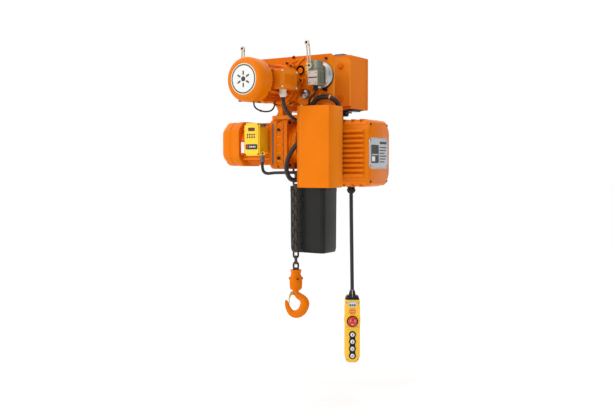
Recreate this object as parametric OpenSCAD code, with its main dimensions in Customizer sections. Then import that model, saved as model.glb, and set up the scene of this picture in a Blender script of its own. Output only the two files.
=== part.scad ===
// Electric chain hoist hung in a powered beam trolley.
// X runs along the beam, -Y is the trolley motor's side, Z is up.
// The origin is the middle of the beam track: between the side plates, at the height of the wheel
// treads, straight above the load chain.

/* [Trolley] */
// Length of the side plates along the beam
plate_l = 372; // [340:2:400]
// Height of the side plates' top above the wheel treads
plate_top = 89; // [88:1:100]
// Depth of the side plates' bottom below the wheel treads
plate_bottom = 76; // [70:1:84]
// Thickness of the side plates
plate_t = 10; // [8:1:12]
// Gap between the side plates
plate_gap = 100; // [98:1:104]
// Radius of the wheel treads
tread_r = 40; // [36:1:42]
// Distance of each wheel axle from the trolley's middle
axle_x = 60; // [58:1:64]
// Distance of each suspension shaft from the trolley's middle
shaft_x = 82; // [80:1:88]
// Depth of the suspension shafts below the wheel treads
shaft_depth = 41; // [38:1:44]

/* [Drives] */
// Radius of the trolley motor's fan cowl
cowl_r = 71; // [68:1:74]
// Radius of the hoist motor's fan cover
motor_r = 79; // [76:1:80]
// Offset of the hoist's shaft line behind the load chain, the lift wheel's pitch radius
lift_y = 33; // [32:1:35]
// Depth of the hoist's shaft line below the wheel treads
lift_depth = 202; // [198:1:206]
// Teeth on each driven trolley wheel
wheel_teeth = 24; // [24:1:24]
// Teeth on the trolley's output pinion
pinion_teeth = 14; // [14:1:14]
// Teeth on each small reduction gear
small_teeth = 12; // [12:1:12]
// Teeth on each large reduction gear
large_teeth = 30; // [30:1:30]

/* [Boxes] */
// Length of the ribbed control cover
cover_l = 265; // [240:1:290]
// Height of the ribbed control cover
cover_h = 218; // [210:1:224]
// Width of the front control box
front_w = 121; // [110:1:130]
// Height of the front control box
front_h = 265; // [250:1:280]
// Depth of the front control box
front_d = 87; // [80:1:95]
// Height of the chain bucket
bucket_h = 235; // [200:1:260]

/* [Chain and hook] */
// Pitch of the load chain
chain_pitch = 21; // [21:1:21]
// Radius of the load chain's wire
wire_r = 3.45; // [3.3:0.05:3.45]
// Height of the hook block's collar, below the wheel treads
block_depth = 645; // [620:1:680]

/* [Pendant] */
// Height of the pendant's housing
pendant_h = 230; // [220:1:240]
// Width of the pendant's housing
pendant_w = 53; // [48:1:56]
// Depth of the pendant's housing
pendant_d = 44; // [40:1:48]
// Radius of the pendant's cable
cable_r = 6.3; // [5.5:0.1:6.5]

/* [Hidden] */
$fn = 48;
fit = 0.05;              // radial clearance of running shafts
gap = 0.3;               // clearance between separate pieces
half_l = plate_l / 2;
plate_in = plate_gap / 2;
plate_out = plate_in + plate_t;

// Gears: stub teeth with a 20 degree pressure angle
wheel_module = 4;
small_module = 1.5;
pressure = 20;
backlash = 0.16;
wheel_pitch_r = wheel_module * wheel_teeth / 2;
pinion_pitch_r = wheel_module * pinion_teeth / 2;
stage_distance = small_module * (small_teeth + large_teeth) / 2;
pinion_z = tread_r - sqrt(pow(wheel_pitch_r + pinion_pitch_r, 2) - pow(axle_x, 2));
left_phi = atan2(tread_r - pinion_z, -axle_x);
right_phi = atan2(tread_r - pinion_z, axle_x);

// Trolley drive, along Y in front of the front plate
gearbox_r = 66;
gearbox_y = -plate_out - 52;
stator_r = 60;
stator_end = -240;
cowl_end = -304;

// Hoist, along X
lift_z = -lift_depth;
housing_x0 = -80;
housing_x1 = -1;
housing_y0 = -54;
housing_y1 = 121;
housing_z0 = -292;
housing_z1 = -120;
round_r = 80;
round_x1 = 16;
gear_x1 = 44;
cover_x0 = gear_x1 + gap;
cover_x1 = cover_x0 + cover_l;
cover_z1 = -130;
cover_z0 = cover_z1 - cover_h;

// Front control box
front_x0 = 104;
front_y1 = -65;
front_z1 = -87;

// Chain
slack_y = 2 * lift_y;
link_half = chain_pitch / 2 + wire_r + 0.1;
link_r = 4.5 + wire_r;
load_links = 22;
slack_links = 14;
load_top_z = -block_depth - 8 + load_links * chain_pitch;
slack_top_z = -212;

// Pendant
exit_x = 203;
pendant_x = 208;
pendant_y = lift_y;
pendant_turn = 32.4;
pendant_top = -721;
pendant_bottom = pendant_top - pendant_h;
cap_h = 14;
button_z = [-853.5, -877.8, -902, -926];
estop_z = -804;

// Limit switches
bell_x = 143;
bell_z = 19;
lever_pivot = [137, -126, 45];
lever_roller = [130, -126, 119];

// Routes of the leads, chosen by hand
motor_route = [[68, -180, -50], [68, -179, -70], [70, -168, -96], [76, -148, -118],
    [84, -132, -129], [91, -128, -131], [98, -128, -131], [102.9, -128, -131]];
brake_route = [[10, -262, -77.4], [10, -256, -92], [10, -234, -101], [10, -200, -104],
    [10, -166, -99], [10, -148, -86], [10, -142, -66.3]];
right_switch_route = [[146, -104, -36], [142, -102, -44], [128, -99, -53], [115, -94, -64],
    [112, -90, -76], [112, -90, -86]];
left_switch_route = [[-146, -104, -36], [-147, -103, -44], [-160, -96, -52], [-184, -80, -52],
    [-199, -54, -48], [-203, 0, -46], [-199, 54, -46], [-182, 84, -46], [-150, 98, -46],
    [-116, 100, -46], [-100.9, 100, -46]];
arch_route = [[124, -80, -85.7], [124, -80, -72], [138, -78, -59], [160, -76, -54],
    [182, -74, -57], [196, -66, -65], [202, -56, -77], [204, -50, -92], [204, -44, -108],
    [204, -39, -120], [204, -38, -129.5]];
inverter_route = [[-78, -92, -262], [-78, -92, -284], [-74, -90, -300], [-62, -85, -307],
    [-38, -74, -305], [0, -62, -304], [36, -62, -303], [66, -68, -298], [84, -78, -291],
    [94, -88, -288], [103.1, -88, -288]];
conduit_route = [[103.1, -97, -192], [94, -97, -192.5], [76, -98, -201], [52, -98, -226],
    [32, -96, -254], [22, -92, -284], [20, -84, -306], [21, -68, -324], [26, -48, -330],
    [32, -37, -328], [39.2, -36, -328]];
pendant_route = [[203, 33, -354], [203, 33, -372], [203.2, 33, -400], [203.6, 33, -430],
    [204, 33, -460], [204.5, 33, -490], [205, 33, -520], [205.5, 33, -550], [206, 33, -580],
    [206.5, 33, -610], [207, 33, -640], [207.5, 33, -670], [207.9, 33, -700], [208, 33, -721]];

// Hook, as points in its own plane and the radius at each
hook_route = [[0, -722], [0, -728], [10, -738], [23, -747], [30, -758], [31, -770], [24, -788],
    [14, -798], [1, -803], [-11, -801], [-20, -794], [-28, -780], [-31.5, -767], [-35, -755]];
hook_radii = [9, 9.5, 12, 13.5, 15.5, 16.5, 16, 15.3, 14.3, 12.6, 10.9, 9, 8, 4];
hook_flat = 0.8;         // thickness of the hook across its plane, as a share of its width
latch_pivot = [-15, -728];

// ---- shared shapes ----

function unit(v) = v / norm(v);
function tangent(p, i) = unit(p[min(i + 1, len(p) - 1)] - p[max(i - 1, 0)]);
function ring(c, t, r, ref, sides, flat) =
    let (a = unit(cross(ref, t)), b = flat * cross(t, a))
    [for (k = [0:sides - 1]) c + r * (cos(360 * k / sides) * a + sin(360 * k / sides) * b)];
function blend_point(a, b, c, d, s) =
    0.5 * (2 * b + (c - a) * s + (2 * a - 5 * b + 4 * c - d) * s * s
    + (3 * b - a - 3 * c + d) * s * s * s);
function spline(p, n) = concat(
    [for (i = [0:len(p) - 2], s = [0:n - 1])
        blend_point(p[max(i - 1, 0)], p[i], p[i + 1], p[min(i + 2, len(p) - 1)], s / n)],
    [p[len(p) - 1]]);

// A tube along a path; radii is one number or one per point, and flat is its thickness along ref
module tube(path, radii, ref, sides, flat = 1) {
    m = len(path);
    points = [for (i = [0:m - 1])
        each ring(path[i], tangent(path, i), is_list(radii) ? radii[i] : radii, ref, sides, flat)];
    walls = [for (i = [0:m - 2], k = [0:sides - 1])
        let (a = i * sides + k, b = i * sides + (k + 1) % sides)
        each [[a, a + sides, b + sides], [a, b + sides, b]]];
    first = [for (k = [0:sides - 1]) k];
    last = [for (k = [0:sides - 1]) m * sides - 1 - k];
    polyhedron(points, concat(walls, [first], [last]));
}

module lead(route, r, ref) tube(spline(route, 2), r, ref, 8);

// A cylinder along Y from y0 to y1
module rod_y(x, z, r, y0, y1) translate([x, y1, z]) rotate([90, 0, 0]) cylinder(r = r, h = y1 - y0);

// A cylinder along X from x0 to x1
module rod_x(y, z, r, x0, x1) translate([x0, y, z]) rotate([0, 90, 0]) cylinder(r = r, h = x1 - x0);

// A cylinder along Z from z0 to z1
module rod_z(x, y, r, z0, z1) translate([x, y, z0]) cylinder(r = r, h = z1 - z0);

// A box between two corners
module block(low, high) translate(low) cube(high - low);

// A box whose edges along X are rounded
module rounded_x(low, high, r) {
    block([low.x, low.y + r, low.z], [high.x, high.y - r, high.z]);
    block([low.x, low.y, low.z + r], [high.x, high.y, high.z - r]);
    for (y = [low.y + r, high.y - r], z = [low.z + r, high.z - r]) rod_x(y, z, r, low.x, high.x);
}

// A box whose edges along Y are rounded
module rounded_y(low, high, r) {
    block([low.x + r, low.y, low.z], [high.x - r, high.y, high.z]);
    block([low.x, low.y, low.z + r], [high.x, high.y, high.z - r]);
    for (x = [low.x + r, high.x - r], z = [low.z + r, high.z - r]) rod_y(x, z, r, low.y, high.y);
}

// A box whose edges along Z are rounded
module rounded_z(low, high, r) {
    block([low.x + r, low.y, low.z], [high.x - r, high.y, high.z]);
    block([low.x, low.y + r, low.z], [high.x, high.y - r, high.z]);
    for (x = [low.x + r, high.x - r], y = [low.y + r, high.y - r]) rod_z(x, y, r, low.z, high.z);
}

function inv(a) = tan(a) * 180 / PI - a;
function tooth_half(r, z, m) =
    let (pitch = m * z / 2, base = pitch * cos(pressure))
    90 / z - backlash / pitch * 90 / PI + inv(pressure) - inv(acos(min(1, base / r)));
function tooth_radii(z, m) =
    let (pitch = m * z / 2, root = pitch - 1.05 * m, base = max(pitch * cos(pressure), root + 0.1),
        tip = pitch + 0.8 * m)
    [root, base, base + (tip - base) / 3, base + (tip - base) * 2 / 3, tip];
// Turn of a gear that meshes with gear a, where phi points from a's centre to it
function mesh_turn(phi, turn_a, teeth_a, teeth_b) =
    phi + 180 + 180 / teeth_b - (turn_a - phi) * teeth_a / teeth_b;

module gear_outline(z, m, turn) {
    radii = tooth_radii(z, m);
    base = radii[1];
    polygon([for (k = [0:z - 1], side = [-1, 1], i = [0:len(radii) - 1])
        let (r = side < 0 ? radii[i] : radii[len(radii) - 1 - i],
            a = turn + 360 * k / z + side * tooth_half(max(r, base), z, m))
        [r * cos(a), r * sin(a)]]);
}
module gear_y(x, z, teeth, m, turn, y0, y1)
    translate([x, y1, z]) rotate([90, 0, 0]) linear_extrude(y1 - y0) gear_outline(teeth, m, turn);
module gear_x(y, z, teeth, m, turn, x0, x1)
    translate([x0, y, z]) rotate([90, 0, 90]) linear_extrude(x1 - x0) gear_outline(teeth, m, turn);

// ---- trolley ----

// Plate between two depths; its lower edge steps up at the left end
module side_plate(y0, y1) {
    translate([0, y1, 0]) rotate([90, 0, 0]) linear_extrude(y1 - y0)
        polygon([[-half_l, -46], [-118, -46], [-104, -62], [44, -62], [58, -plate_bottom],
            [half_l, -plate_bottom], [half_l, plate_top - 10], [half_l - 10, plate_top],
            [-half_l + 10, plate_top], [-half_l, plate_top - 10]]);
}

module trolley_front_plate() {
    color("darkorange") difference() {
        union() {
            side_plate(-plate_out, -plate_in);
            for (s = [-1, 1]) rod_y(s * axle_x, tread_r, 19, -plate_out - 4, -plate_out + 1);
        }
        for (s = [-1, 1]) {
            rod_y(s * axle_x, tread_r, 10, -plate_out - 5, -plate_in + 1);
            rod_y(s * shaft_x, -shaft_depth, 15.1, -plate_out - 1, -plate_in + 1);
        }
        rod_y(0, pinion_z, 14, -plate_out - 1, -plate_in + 1);
    }
}

module trolley_rear_plate() {
    color("darkorange") difference() {
        side_plate(plate_in, plate_out);
        for (s = [-1, 1]) {
            rod_y(s * axle_x, tread_r, 10, plate_in - 1, plate_out + 1);
            rod_y(s * shaft_x, -shaft_depth, 15.1, plate_in - 1, plate_out + 1);
        }
    }
}

// Two shafts, each with a domed head on the front plate and a collar between the plates
module suspension_shafts() {
    color("silver") for (s = [-1, 1]) {
        rod_y(s * shaft_x, -shaft_depth, 15, -plate_out - 8, plate_out);
        translate([s * shaft_x, -plate_out - gap, -shaft_depth]) rotate([90, 0, 0])
            rotate_extrude() polygon([[0, 0], [17, 0], [17, 8], [14, 14], [8, 18], [0, 20]]);
        for (t = [-1, 1])
            rod_y(s * shaft_x, -shaft_depth, 18, t > 0 ? 31 : 1 - plate_in, t > 0 ? plate_in - 1 : -31);
    }
}

// Four studs, each with a retaining collar at its inner end
module wheel_axles() {
    color("dimgray") for (s = [-1, 1], t = [-1, 1]) {
        y_out = t < 0 ? -plate_out - 3.7 : plate_out - gap;
        y_in = t * 9.5;
        rod_y(s * axle_x, tread_r, 9.95, min(y_out, y_in), max(y_out, y_in));
        rod_y(s * axle_x, tread_r, 13, t > 0 ? 9.5 : -11.5, t > 0 ? 11.5 : -9.5);
    }
}

module driven_wheel(x, turn) {
    color("dimgray") difference() {
        union() {
            rod_y(x, tread_r, tread_r - 0.2, -39, -12);
            gear_y(x, tread_r, wheel_teeth, wheel_module, turn, 1 - plate_in, -39);
        }
        rod_y(x, tread_r, 9.95 + fit, -plate_in, -11);
    }
}
module front_left_wheel() driven_wheel(-axle_x, mesh_turn(left_phi, left_phi, pinion_teeth, wheel_teeth));
module front_right_wheel() driven_wheel(axle_x, mesh_turn(right_phi, left_phi, pinion_teeth, wheel_teeth));

module idle_wheel(x) {
    color("dimgray") difference() {
        union() {
            rod_y(x, tread_r, tread_r - 0.2, 12, 39);
            rod_y(x, tread_r, wheel_pitch_r, 39, plate_in - 1);
        }
        rod_y(x, tread_r, 9.95 + fit, 11, plate_in);
    }
}
module rear_left_wheel() idle_wheel(-axle_x);
module rear_right_wheel() idle_wheel(axle_x);

// Output pinion, its shaft and the last gear of the reduction
module trolley_pinion() {
    color("slategray") {
        gear_y(0, pinion_z, pinion_teeth, wheel_module, left_phi, 1 - plate_in, -39);
        rod_y(0, pinion_z, 12, -82, -39);
        gear_y(0, pinion_z, large_teeth, small_module,
            mesh_turn(-90, 90, small_teeth, large_teeth), -80, -70);
    }
}

module trolley_countershaft() {
    z = pinion_z + stage_distance;
    color("slategray") {
        rod_y(0, z, 5, -104, -61);
        gear_y(0, z, small_teeth, small_module, 90, -80, -70);
        gear_y(0, z, large_teeth, small_module,
            mesh_turn(90, 90, small_teeth, large_teeth), -92, -84);
    }
}

// Rotor, its shaft with the first pinion, and the fan
module trolley_rotor() {
    color("gray") {
        rod_y(0, pinion_z, 6, -264, -84);
        gear_y(0, pinion_z, small_teeth, small_module, 90, -92, -84);
        rod_y(0, pinion_z, 37.4, -215, -132);
        rod_y(0, pinion_z, 16, -262, -248);
        for (a = [0:45:315]) translate([0, 0, pinion_z]) rotate([0, a, 0])
            block([-1.5, -262, 14], [1.5, -250, 56]);
    }
}

module trolley_gearbox() {
    z = pinion_z + stage_distance;
    color("darkorange") difference() {
        union() {
            rod_y(0, pinion_z, gearbox_r, gearbox_y, -plate_out - gap);
            for (a = [10, 65, 115, 170, 245, 295]) translate([0, 0, pinion_z]) rotate([0, -a, 0])
                rod_y(gearbox_r + 2, 0, 10, -plate_out - 14, -plate_out - gap);
        }
        for (s = [-1, 1]) rod_y(s * axle_x, tread_r, 19.5, -plate_out - 4.5, -plate_out);
        rod_y(0, pinion_z, 59, -94, -66);
        rod_y(0, pinion_z, 12 + fit, -67, -plate_out);
        rod_y(0, pinion_z, 6 + fit, gearbox_y - 1, -93);
        rod_y(0, z, 5 + fit, -105, -60.6);
    }
}

module trolley_stator() {
    y1 = gearbox_y - gap;
    color("darkorange") difference() {
        union() {
            rod_y(0, pinion_z, stator_r - 4, stator_end, y1);
            for (a = [0:15:345]) translate([0, 0, pinion_z]) rotate([0, a, 0])
                block([-1.5, stator_end, stator_r - 8], [1.5, y1, stator_r]);
        }
        rod_y(0, pinion_z, 38, stator_end + 8, y1 + 1);
        rod_y(0, pinion_z, 6 + fit, stator_end - 1, stator_end + 9);
    }
}

// Smooth cup with a rounded front edge
module trolley_motor_cowl() {
    depth = stator_end - gap - cowl_end;
    round = 18;
    wall = 3;
    color("orange") translate([0, stator_end - gap, pinion_z]) rotate([90, 0, 0]) rotate_extrude()
        polygon(concat([[0, depth]],
            [for (a = [90:-15:0])
                [cowl_r - round + round * cos(a), depth - round + round * sin(a)]],
            [[cowl_r, 0], [cowl_r - wall, 0]],
            [for (a = [0:15:90])
                [cowl_r - round + (round - wall) * cos(a), depth - round + (round - wall) * sin(a)]],
            [[0, depth - wall]]));
}

module terminal_box() {
    color("darkorange") difference() {
        block([48, -216, -33], [78, -120, 30]);
        block([64, -212, -29], [79, -124, 26]);
        rod_y(0, pinion_z, stator_r + gap, -220, -112);
        rod_z(68, -180, 8, -34, -28);
    }
}

module terminal_cover() {
    color("darkorange") {
        block([78 + gap, -217, -33], [85, -119, 31]);
        for (y = [-210, -126], z = [-27, 24]) rod_x(y, z, 3, 85, 86.5);
    }
}

// A gland with a hexagonal nut, pointing down from z1
module gland(x, y, z0, z1, r, bore) {
    difference() {
        union() {
            rod_z(x, y, r, z0, z1);
            translate([x, y, (z0 + z1) / 2 - 4]) cylinder(r = r * 1.15, h = 8, $fn = 6);
        }
        rod_z(x, y, bore, z0 - 1, z1 + 1);
    }
}

// Trolley lead, inverter lead, both limit switches, pendant and power inlet
module cable_glands() {
    color("whitesmoke") gland(68, -180, -60, -33 - gap, 13, 6.8);
    color("gray") gland(-78, -92, -270, -246 - gap, 9, 6);
    for (s = [-1, 1]) color("black") gland(s * 146, -104, -37, -19 - gap, 9, 4.6);
    color("black") gland(exit_x, pendant_y, -375, cover_z0 - gap, 15, 10);
    color("black") difference() {
        union() {
            rounded_z([98, 112, -94], [142, 156, -85 - gap], 6);
            rod_z(120, 134, 15, -106, -94);
        }
        rod_z(120, 134, 8, -107, -84);
    }
}

// Motor lead, brake lead, both switch leads and the lead that arches to the control cover
module trolley_leads() {
    color("black") {
        lead(motor_route, 6, [1, 1, 0]);
        lead(brake_route, 2.6, [1, 0, 0]);
        lead(right_switch_route, 4, [0, 1, 0]);
        lead(left_switch_route, 4, [0, 1, 0]);
        lead(arch_route, 8, [0.5, 1, 0]);
    }
}

module switch_brackets() {
    color("goldenrod") for (s = [-1, 1]) mirror([s < 0 ? 1 : 0, 0, 0]) {
        block([80, -plate_out - 3.5, 26], [98, -plate_out - gap, 86]);
        block([95, -82.8, 26], [98, -plate_out - gap, 62]);
        block([95, -82.8, -8], [160, -79.8, 62]);
    }
}

module limit_switches() {
    color("darkseagreen") for (s = [-1, 1]) mirror([s < 0 ? 1 : 0, 0, 0]) difference() {
        union() {
            block([127, -125, -19], [166, -83, 32]);
            block([130, -122, 32], [163, -86, 63]);
            rod_y(146.5, 45, 12, -125, -120);
        }
        rod_y(lever_pivot.x, lever_pivot.z, 4 + fit, -126, -112);
        rod_z(146, -104, 4.6, -20, -12);
    }
}

// Slotted roller lever with its shaft and the roller's pin
module lever() {
    a = lever_pivot;
    b = lever_roller;
    tilt = atan2(a.x - b.x, b.z - a.z);
    reach = norm([b.x - a.x, b.z - a.z]);
    color("silver") {
        rod_y(a.x, a.z, 4, -127, -113);
        translate([a.x, 0, a.z]) rotate([0, -tilt, 0]) difference() {
            union() {
                rod_y(0, 0, 9, -130, -125.6);
                rod_y(0, reach, 6, -130, -125.6);
                block([-6, -130, 0], [6, -125.6, reach]);
            }
            block([-2.5, -131, 18], [2.5, -125, reach - 10]);
        }
        rod_y(b.x, b.z, 2.5, -138, -128);
    }
}
module left_lever() mirror([1, 0, 0]) lever();
module right_lever() lever();

module roller() {
    color("gainsboro") difference() {
        rod_y(lever_roller.x, lever_roller.z, 9, -137, -130.4);
        rod_y(lever_roller.x, lever_roller.z, 2.5 + fit, -138, -130);
    }
}
module left_roller() mirror([1, 0, 0]) roller();
module right_roller() roller();

module bell_base() {
    color("black") {
        rod_y(bell_x, bell_z, 43, -63, -plate_out - gap);
        rod_y(bell_x, bell_z, 6, -74, -63);
    }
}

// Domed gong, open towards its base
module bell_gong() {
    color("silver") translate([bell_x, -63 - gap, bell_z]) rotate([90, 0, 0]) rotate_extrude() polygon(concat(
        [for (a = [0:10:90]) [44 * cos(a), 15 * sin(a)]],
        [for (a = [90:-10:0]) [42 * cos(a), 13 * sin(a)]]));
}

module rear_box() {
    color("darkorange") difference() {
        block([-100, plate_out + gap, -85], [half_l, 169, 98]);
        block([-97, plate_out + 3, -82], [half_l - 3, 170, 95]);
        rod_z(120, 134, 8, -86, -81);
    }
}

module rear_box_lid() {
    color("darkorange") difference() {
        block([-100, 169 + gap, -85], [half_l, 186, 98]);
        block([-97, 168, -82], [half_l - 3, 183, 95]);
    }
}

// Dark socket-head bolts on the trolley and the hoist body
module socket_bolts() {
    face = -plate_out - 4;
    color("black") {
        for (p = [[5, 58], [32, 76]]) rod_y(p[0], p[1] + 10, 5, face - 4, -plate_out - gap);
        for (s = [-1, 1], z = [74, 38]) rod_y(s * 88, z, 5.5, -plate_out - 9, -plate_out - 3.5 - gap);
        for (a = [20:40:340]) translate([0, lift_y, lift_z]) rotate([a, 0, 0])
            rod_x(0, 74, 4, round_x1 + 12 + 2 * gap, round_x1 + 17);
        for (y = [housing_y0 + 12, housing_y1 - 12], z = [housing_z0 + 12, housing_z1 - 12])
            rod_x(y, z, 4.5, housing_x1 + gap, housing_x1 + 6);
        for (z = [62, -51], x = [152, 0]) rod_y(x, z, 10, plate_in - 6, plate_in - gap);
    }
}

// ---- hoist body ----

module suspension_yoke() {
    leg = [[30, -110], [36, -98], [36, -84], [58, -34], [shaft_x - 8, -24], [shaft_x + 12, -28],
        [shaft_x + 18, -44], [shaft_x, -60], [60, -76], [54, -92], [60, -104], [76, -110]];
    color("darkorange") difference() {
        union() {
            block([-76, -34, -119.7], [76, 34, -106]);
            for (s = [-1, 1]) {
                translate([0, 30, 0]) rotate([90, 0, 0]) linear_extrude(60)
                    polygon([for (p = leg) [s * p[0], p[1]]]);
                rod_y(s * shaft_x, -shaft_depth, 19, -30, 30);
            }
        }
        for (s = [-1, 1]) rod_y(s * shaft_x, -shaft_depth, 15.3, -35, 35);
    }
}

// Frame and lift-wheel case: hollow for the brake and the lift wheel, with a way for each chain
module gear_housing() {
    color("darkorange") difference() {
        union() {
            rounded_x([housing_x0, housing_y0, housing_z0], [housing_x1, housing_y1, housing_z1], 22);
            rod_x(lift_y, lift_z, round_r, housing_x1 - 1, round_x1 + 3);
        }
        rod_x(lift_y, lift_z, 62, housing_x0 + 6, -24);
        rod_x(lift_y, lift_z, 44, -16, 16);
        for (y = [0, slack_y]) block([-14, y - 14, housing_z0 - 1], [14, y + 14, -139]);
        rod_x(lift_y, lift_z, 10 + fit, housing_x0 - 1, housing_x0 + 7);
        rod_x(lift_y, lift_z, 14 + fit, -25, round_x1 + 4);
        rod_x(lift_y, lift_z + stage_distance, 5 + fit, round_x1, round_x1 + 4);
    }
}

// Gear case with the plate that carries the control cover
module gear_cover() {
    x0 = round_x1 + 3 + gap;
    color("darkorange") difference() {
        union() {
            rod_x(lift_y, lift_z, 68, x0, gear_x1);
            rod_x(lift_y, lift_z, round_r, x0, x0 + 9);
            rounded_x([gear_x1 - 4, housing_y0 + 5, cover_z0 + 5],
                [gear_x1, housing_y1 - 5, cover_z1 - 5], 18);
        }
        rod_x(lift_y, lift_z, 60, x0 - 1, gear_x1 - 4);
        rod_x(lift_y, lift_z, 6.5 + fit, gear_x1 - 5, gear_x1 + 1);
        rod_x(lift_y, lift_z + stage_distance, 5 + fit, gear_x1 - 5, gear_x1 + 1);
    }
}

module hoist_stator() {
    x0 = -213;
    x1 = housing_x0 - gap;
    color("darkorange") difference() {
        union() {
            rod_x(lift_y, lift_z, 70, x0, x1);
            for (a = [0:10:350]) translate([0, lift_y, lift_z]) rotate([a, 0, 0])
                block([x0, -1.5, 68], [x1, 1.5, 76]);
        }
        rod_x(lift_y, lift_z, 45, x0 + 8, x1 + 1);
        rod_x(lift_y, lift_z, 10 + fit, x0 - 1, x0 + 9);
    }
}

// Eight-sided body about the lift axis, with its far end drawn in
module fan_octagon(x0, x1, r) {
    c = 0.62 * r;
    outline = [[c, r], [r, c], [r, -c], [c, -r], [-c, -r], [-r, -c], [-r, c], [-c, r]];
    hull() {
        translate([x0 + 12, lift_y, lift_z]) rotate([90, 0, 90]) linear_extrude(x1 - x0 - 12)
            polygon(outline);
        translate([x0, lift_y, lift_z]) rotate([90, 0, 90]) linear_extrude(1)
            polygon([for (q = outline) 0.86 * q]);
    }
}

module hoist_fan_cover() {
    x0 = -298;
    x1 = -213 - gap;
    color("darkorange") difference() {
        fan_octagon(x0, x1, motor_r);
        fan_octagon(x0 + 3, x1 + 1, motor_r - 3);
    }
}

// Rotor, shaft, brake disc, first pinion and fan
module hoist_rotor() {
    color("gray") {
        rod_x(lift_y, lift_z, 10, -246, -40);
        rod_x(lift_y, lift_z, 6.5, -41, gear_x1 - 1);
        rod_x(lift_y, lift_z, 44.4, -190, -100);
        rod_x(lift_y, lift_z, 40, -62, -52);
        gear_x(lift_y, lift_z, small_teeth, small_module, 90, 32, 39);
        rod_x(lift_y, lift_z, 20, -244, -226);
        for (a = [0:45:315]) translate([0, lift_y, lift_z]) rotate([a, 0, 0])
            block([-244, -1.5, 18], [-228, 1.5, 64]);
    }
}

module hoist_countershaft() {
    z = lift_z + stage_distance;
    color("slategray") {
        rod_x(lift_y, z, 5, round_x1 + 0.5, gear_x1 - 0.5);
        gear_x(lift_y, z, small_teeth, small_module, 90, 20.5, 30);
        gear_x(lift_y, z, large_teeth, small_module,
            mesh_turn(90, 90, small_teeth, large_teeth), 32, 39);
    }
}

// Flanged lift wheel on a hollow shaft that carries the last gear
module lift_wheel() {
    color("slategray") difference() {
        union() {
            rod_x(lift_y, lift_z, 20, -12.6, 12.6);
            for (x = [-15, 12.6]) rod_x(lift_y, lift_z, 38, x, x + 2.4);
            rod_x(lift_y, lift_z, 14, -24, 31);
            gear_x(lift_y, lift_z, large_teeth, small_module,
                mesh_turn(-90, 90, small_teeth, large_teeth), 20.5, 30);
        }
        rod_x(lift_y, lift_z, 6.5 + fit, -25, 32);
    }
}

// Ribbed hood, open towards the gear cover
module control_cover() {
    wall = 4;
    ribs = 10;
    rib_pitch = 16;
    color("orange") difference() {
        union() {
            rounded_x([cover_x0, housing_y0 + 4, cover_z0], [cover_x1, housing_y1 - 4, cover_z1], 24);
            for (y = [housing_y0, housing_y1 - 10])
                rounded_y([cover_x0 + 8, y, cover_z0 + 38], [cover_x1 - 10, y + 10, cover_z1 - 17], 4);
        }
        rounded_x([cover_x0 - 1, housing_y0 + 4 + wall, cover_z0 + wall],
            [cover_x1 - wall, housing_y1 - 4 - wall, cover_z1 - wall], 20);
        for (i = [0:ribs - 2], s = [-1, 1])
            rod_x(lift_y + s * 90, cover_z0 + 54 + i * rib_pitch, 4.5, cover_x0 + 16, cover_x1 - 14);
        rod_z(exit_x, pendant_y, 10, cover_z0 - 1, cover_z0 + 5);
    }
}

module nameplate() {
    color("silver") rounded_x([cover_x1 + gap, -38, -291], [cover_x1 + gap + 1.5, 94, -188], 10);
}

// Contactors, a transformer and the trolley's relays, fixed inside their boxes
module control_gear() {
    color("dimgray") {
        for (y = [-30, 20, 70]) block([gear_x1 + 0.5, y, -240], [115, y + 42, -160]);
        block([gear_x1 + 0.5, -20, -330], [100, 90, -250]);
        block([116, -132, -300], [206, front_y1 - 2.5 - gap, -220]);
        for (x = [-60, 20]) block([x, plate_out + 3 + gap, -40], [x + 60, 130, 50]);
    }
}

module inverter_base() {
    color("gold") difference() {
        block([-146, -82, -240], [-84, -30, -140]);
        rod_x(lift_y, lift_z, 76 + gap, -150, -80);
    }
}

module inverter_lid() {
    color("gold") difference() {
        rounded_y([-148, -105, -246], [-69, -82 - gap, -133], 6);
        block([-145, -102, -243], [-72, -82, -136]);
    }
}

module hoist_leads() {
    color("black") {
        lead(inverter_route, 5.2, [0, 1, 0.3]);
        lead(conduit_route, 8, [1, 0.4, 1]);
    }
}

// Left wall, back wall and the two spacers that hold the box on the control cover
module front_box() {
    back_z0 = front_z1 - front_h;
    color("orange") {
        block([front_x0, front_y1 - front_d, back_z0], [front_x0 + 2.5, front_y1, front_z1 + 20]);
        block([front_x0, front_y1 - 2.5, back_z0 + 3], [front_x0 + front_w - 3, front_y1, front_z1 - 3]);
        for (z = [-160, -310]) block([140, front_y1 - 1, z], [190, housing_y0 - gap, z + 20]);
    }
}

// Folded cover: front, right, top and bottom
module front_box_cover() {
    x0 = front_x0 + 2.5 + gap;
    color("orange") difference() {
        block([x0, front_y1 - front_d, front_z1 - front_h], [front_x0 + front_w, front_y1, front_z1]);
        block([x0 - 1, front_y1 - front_d + 2.5, front_z1 - front_h + 2.5],
            [front_x0 + front_w - 2.5, front_y1 + 1, front_z1 - 2.5]);
    }
}

module chain_bucket() {
    low = [-46, 22, -587];
    top = low.z + bucket_h;
    color("black") {
        difference() {
            rounded_z(low, [100, 125.3, top], 12);
            rounded_z(low + [4, 4, 4], [96, 121.3, top + 1], 9);
        }
        block([-20, 121.6, top - 2], [30, 125.3, -240]);
    }
}

// ---- chain and hook ----

// One chain link standing along Z, broad along X or, when turned, along Y
module link(z, turned) {
    straight = link_half - link_r;
    translate([0, 0, z]) rotate([90, 0, turned ? 90 : 0]) {
        for (s = [-1, 1]) {
            translate([0, s * straight, 0]) rotate([0, 0, s > 0 ? 0 : 180])
                rotate_extrude(angle = 180) translate([link_r, 0]) circle(r = wire_r);
            translate([s * link_r, -straight, 0]) rotate([-90, 0, 0])
                cylinder(r = wire_r, h = 2 * straight);
        }
    }
}

module load_chain() {
    color("dimgray") for (i = [1:load_links]) link(load_top_z - i * chain_pitch, i % 2 == 0);
}

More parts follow.
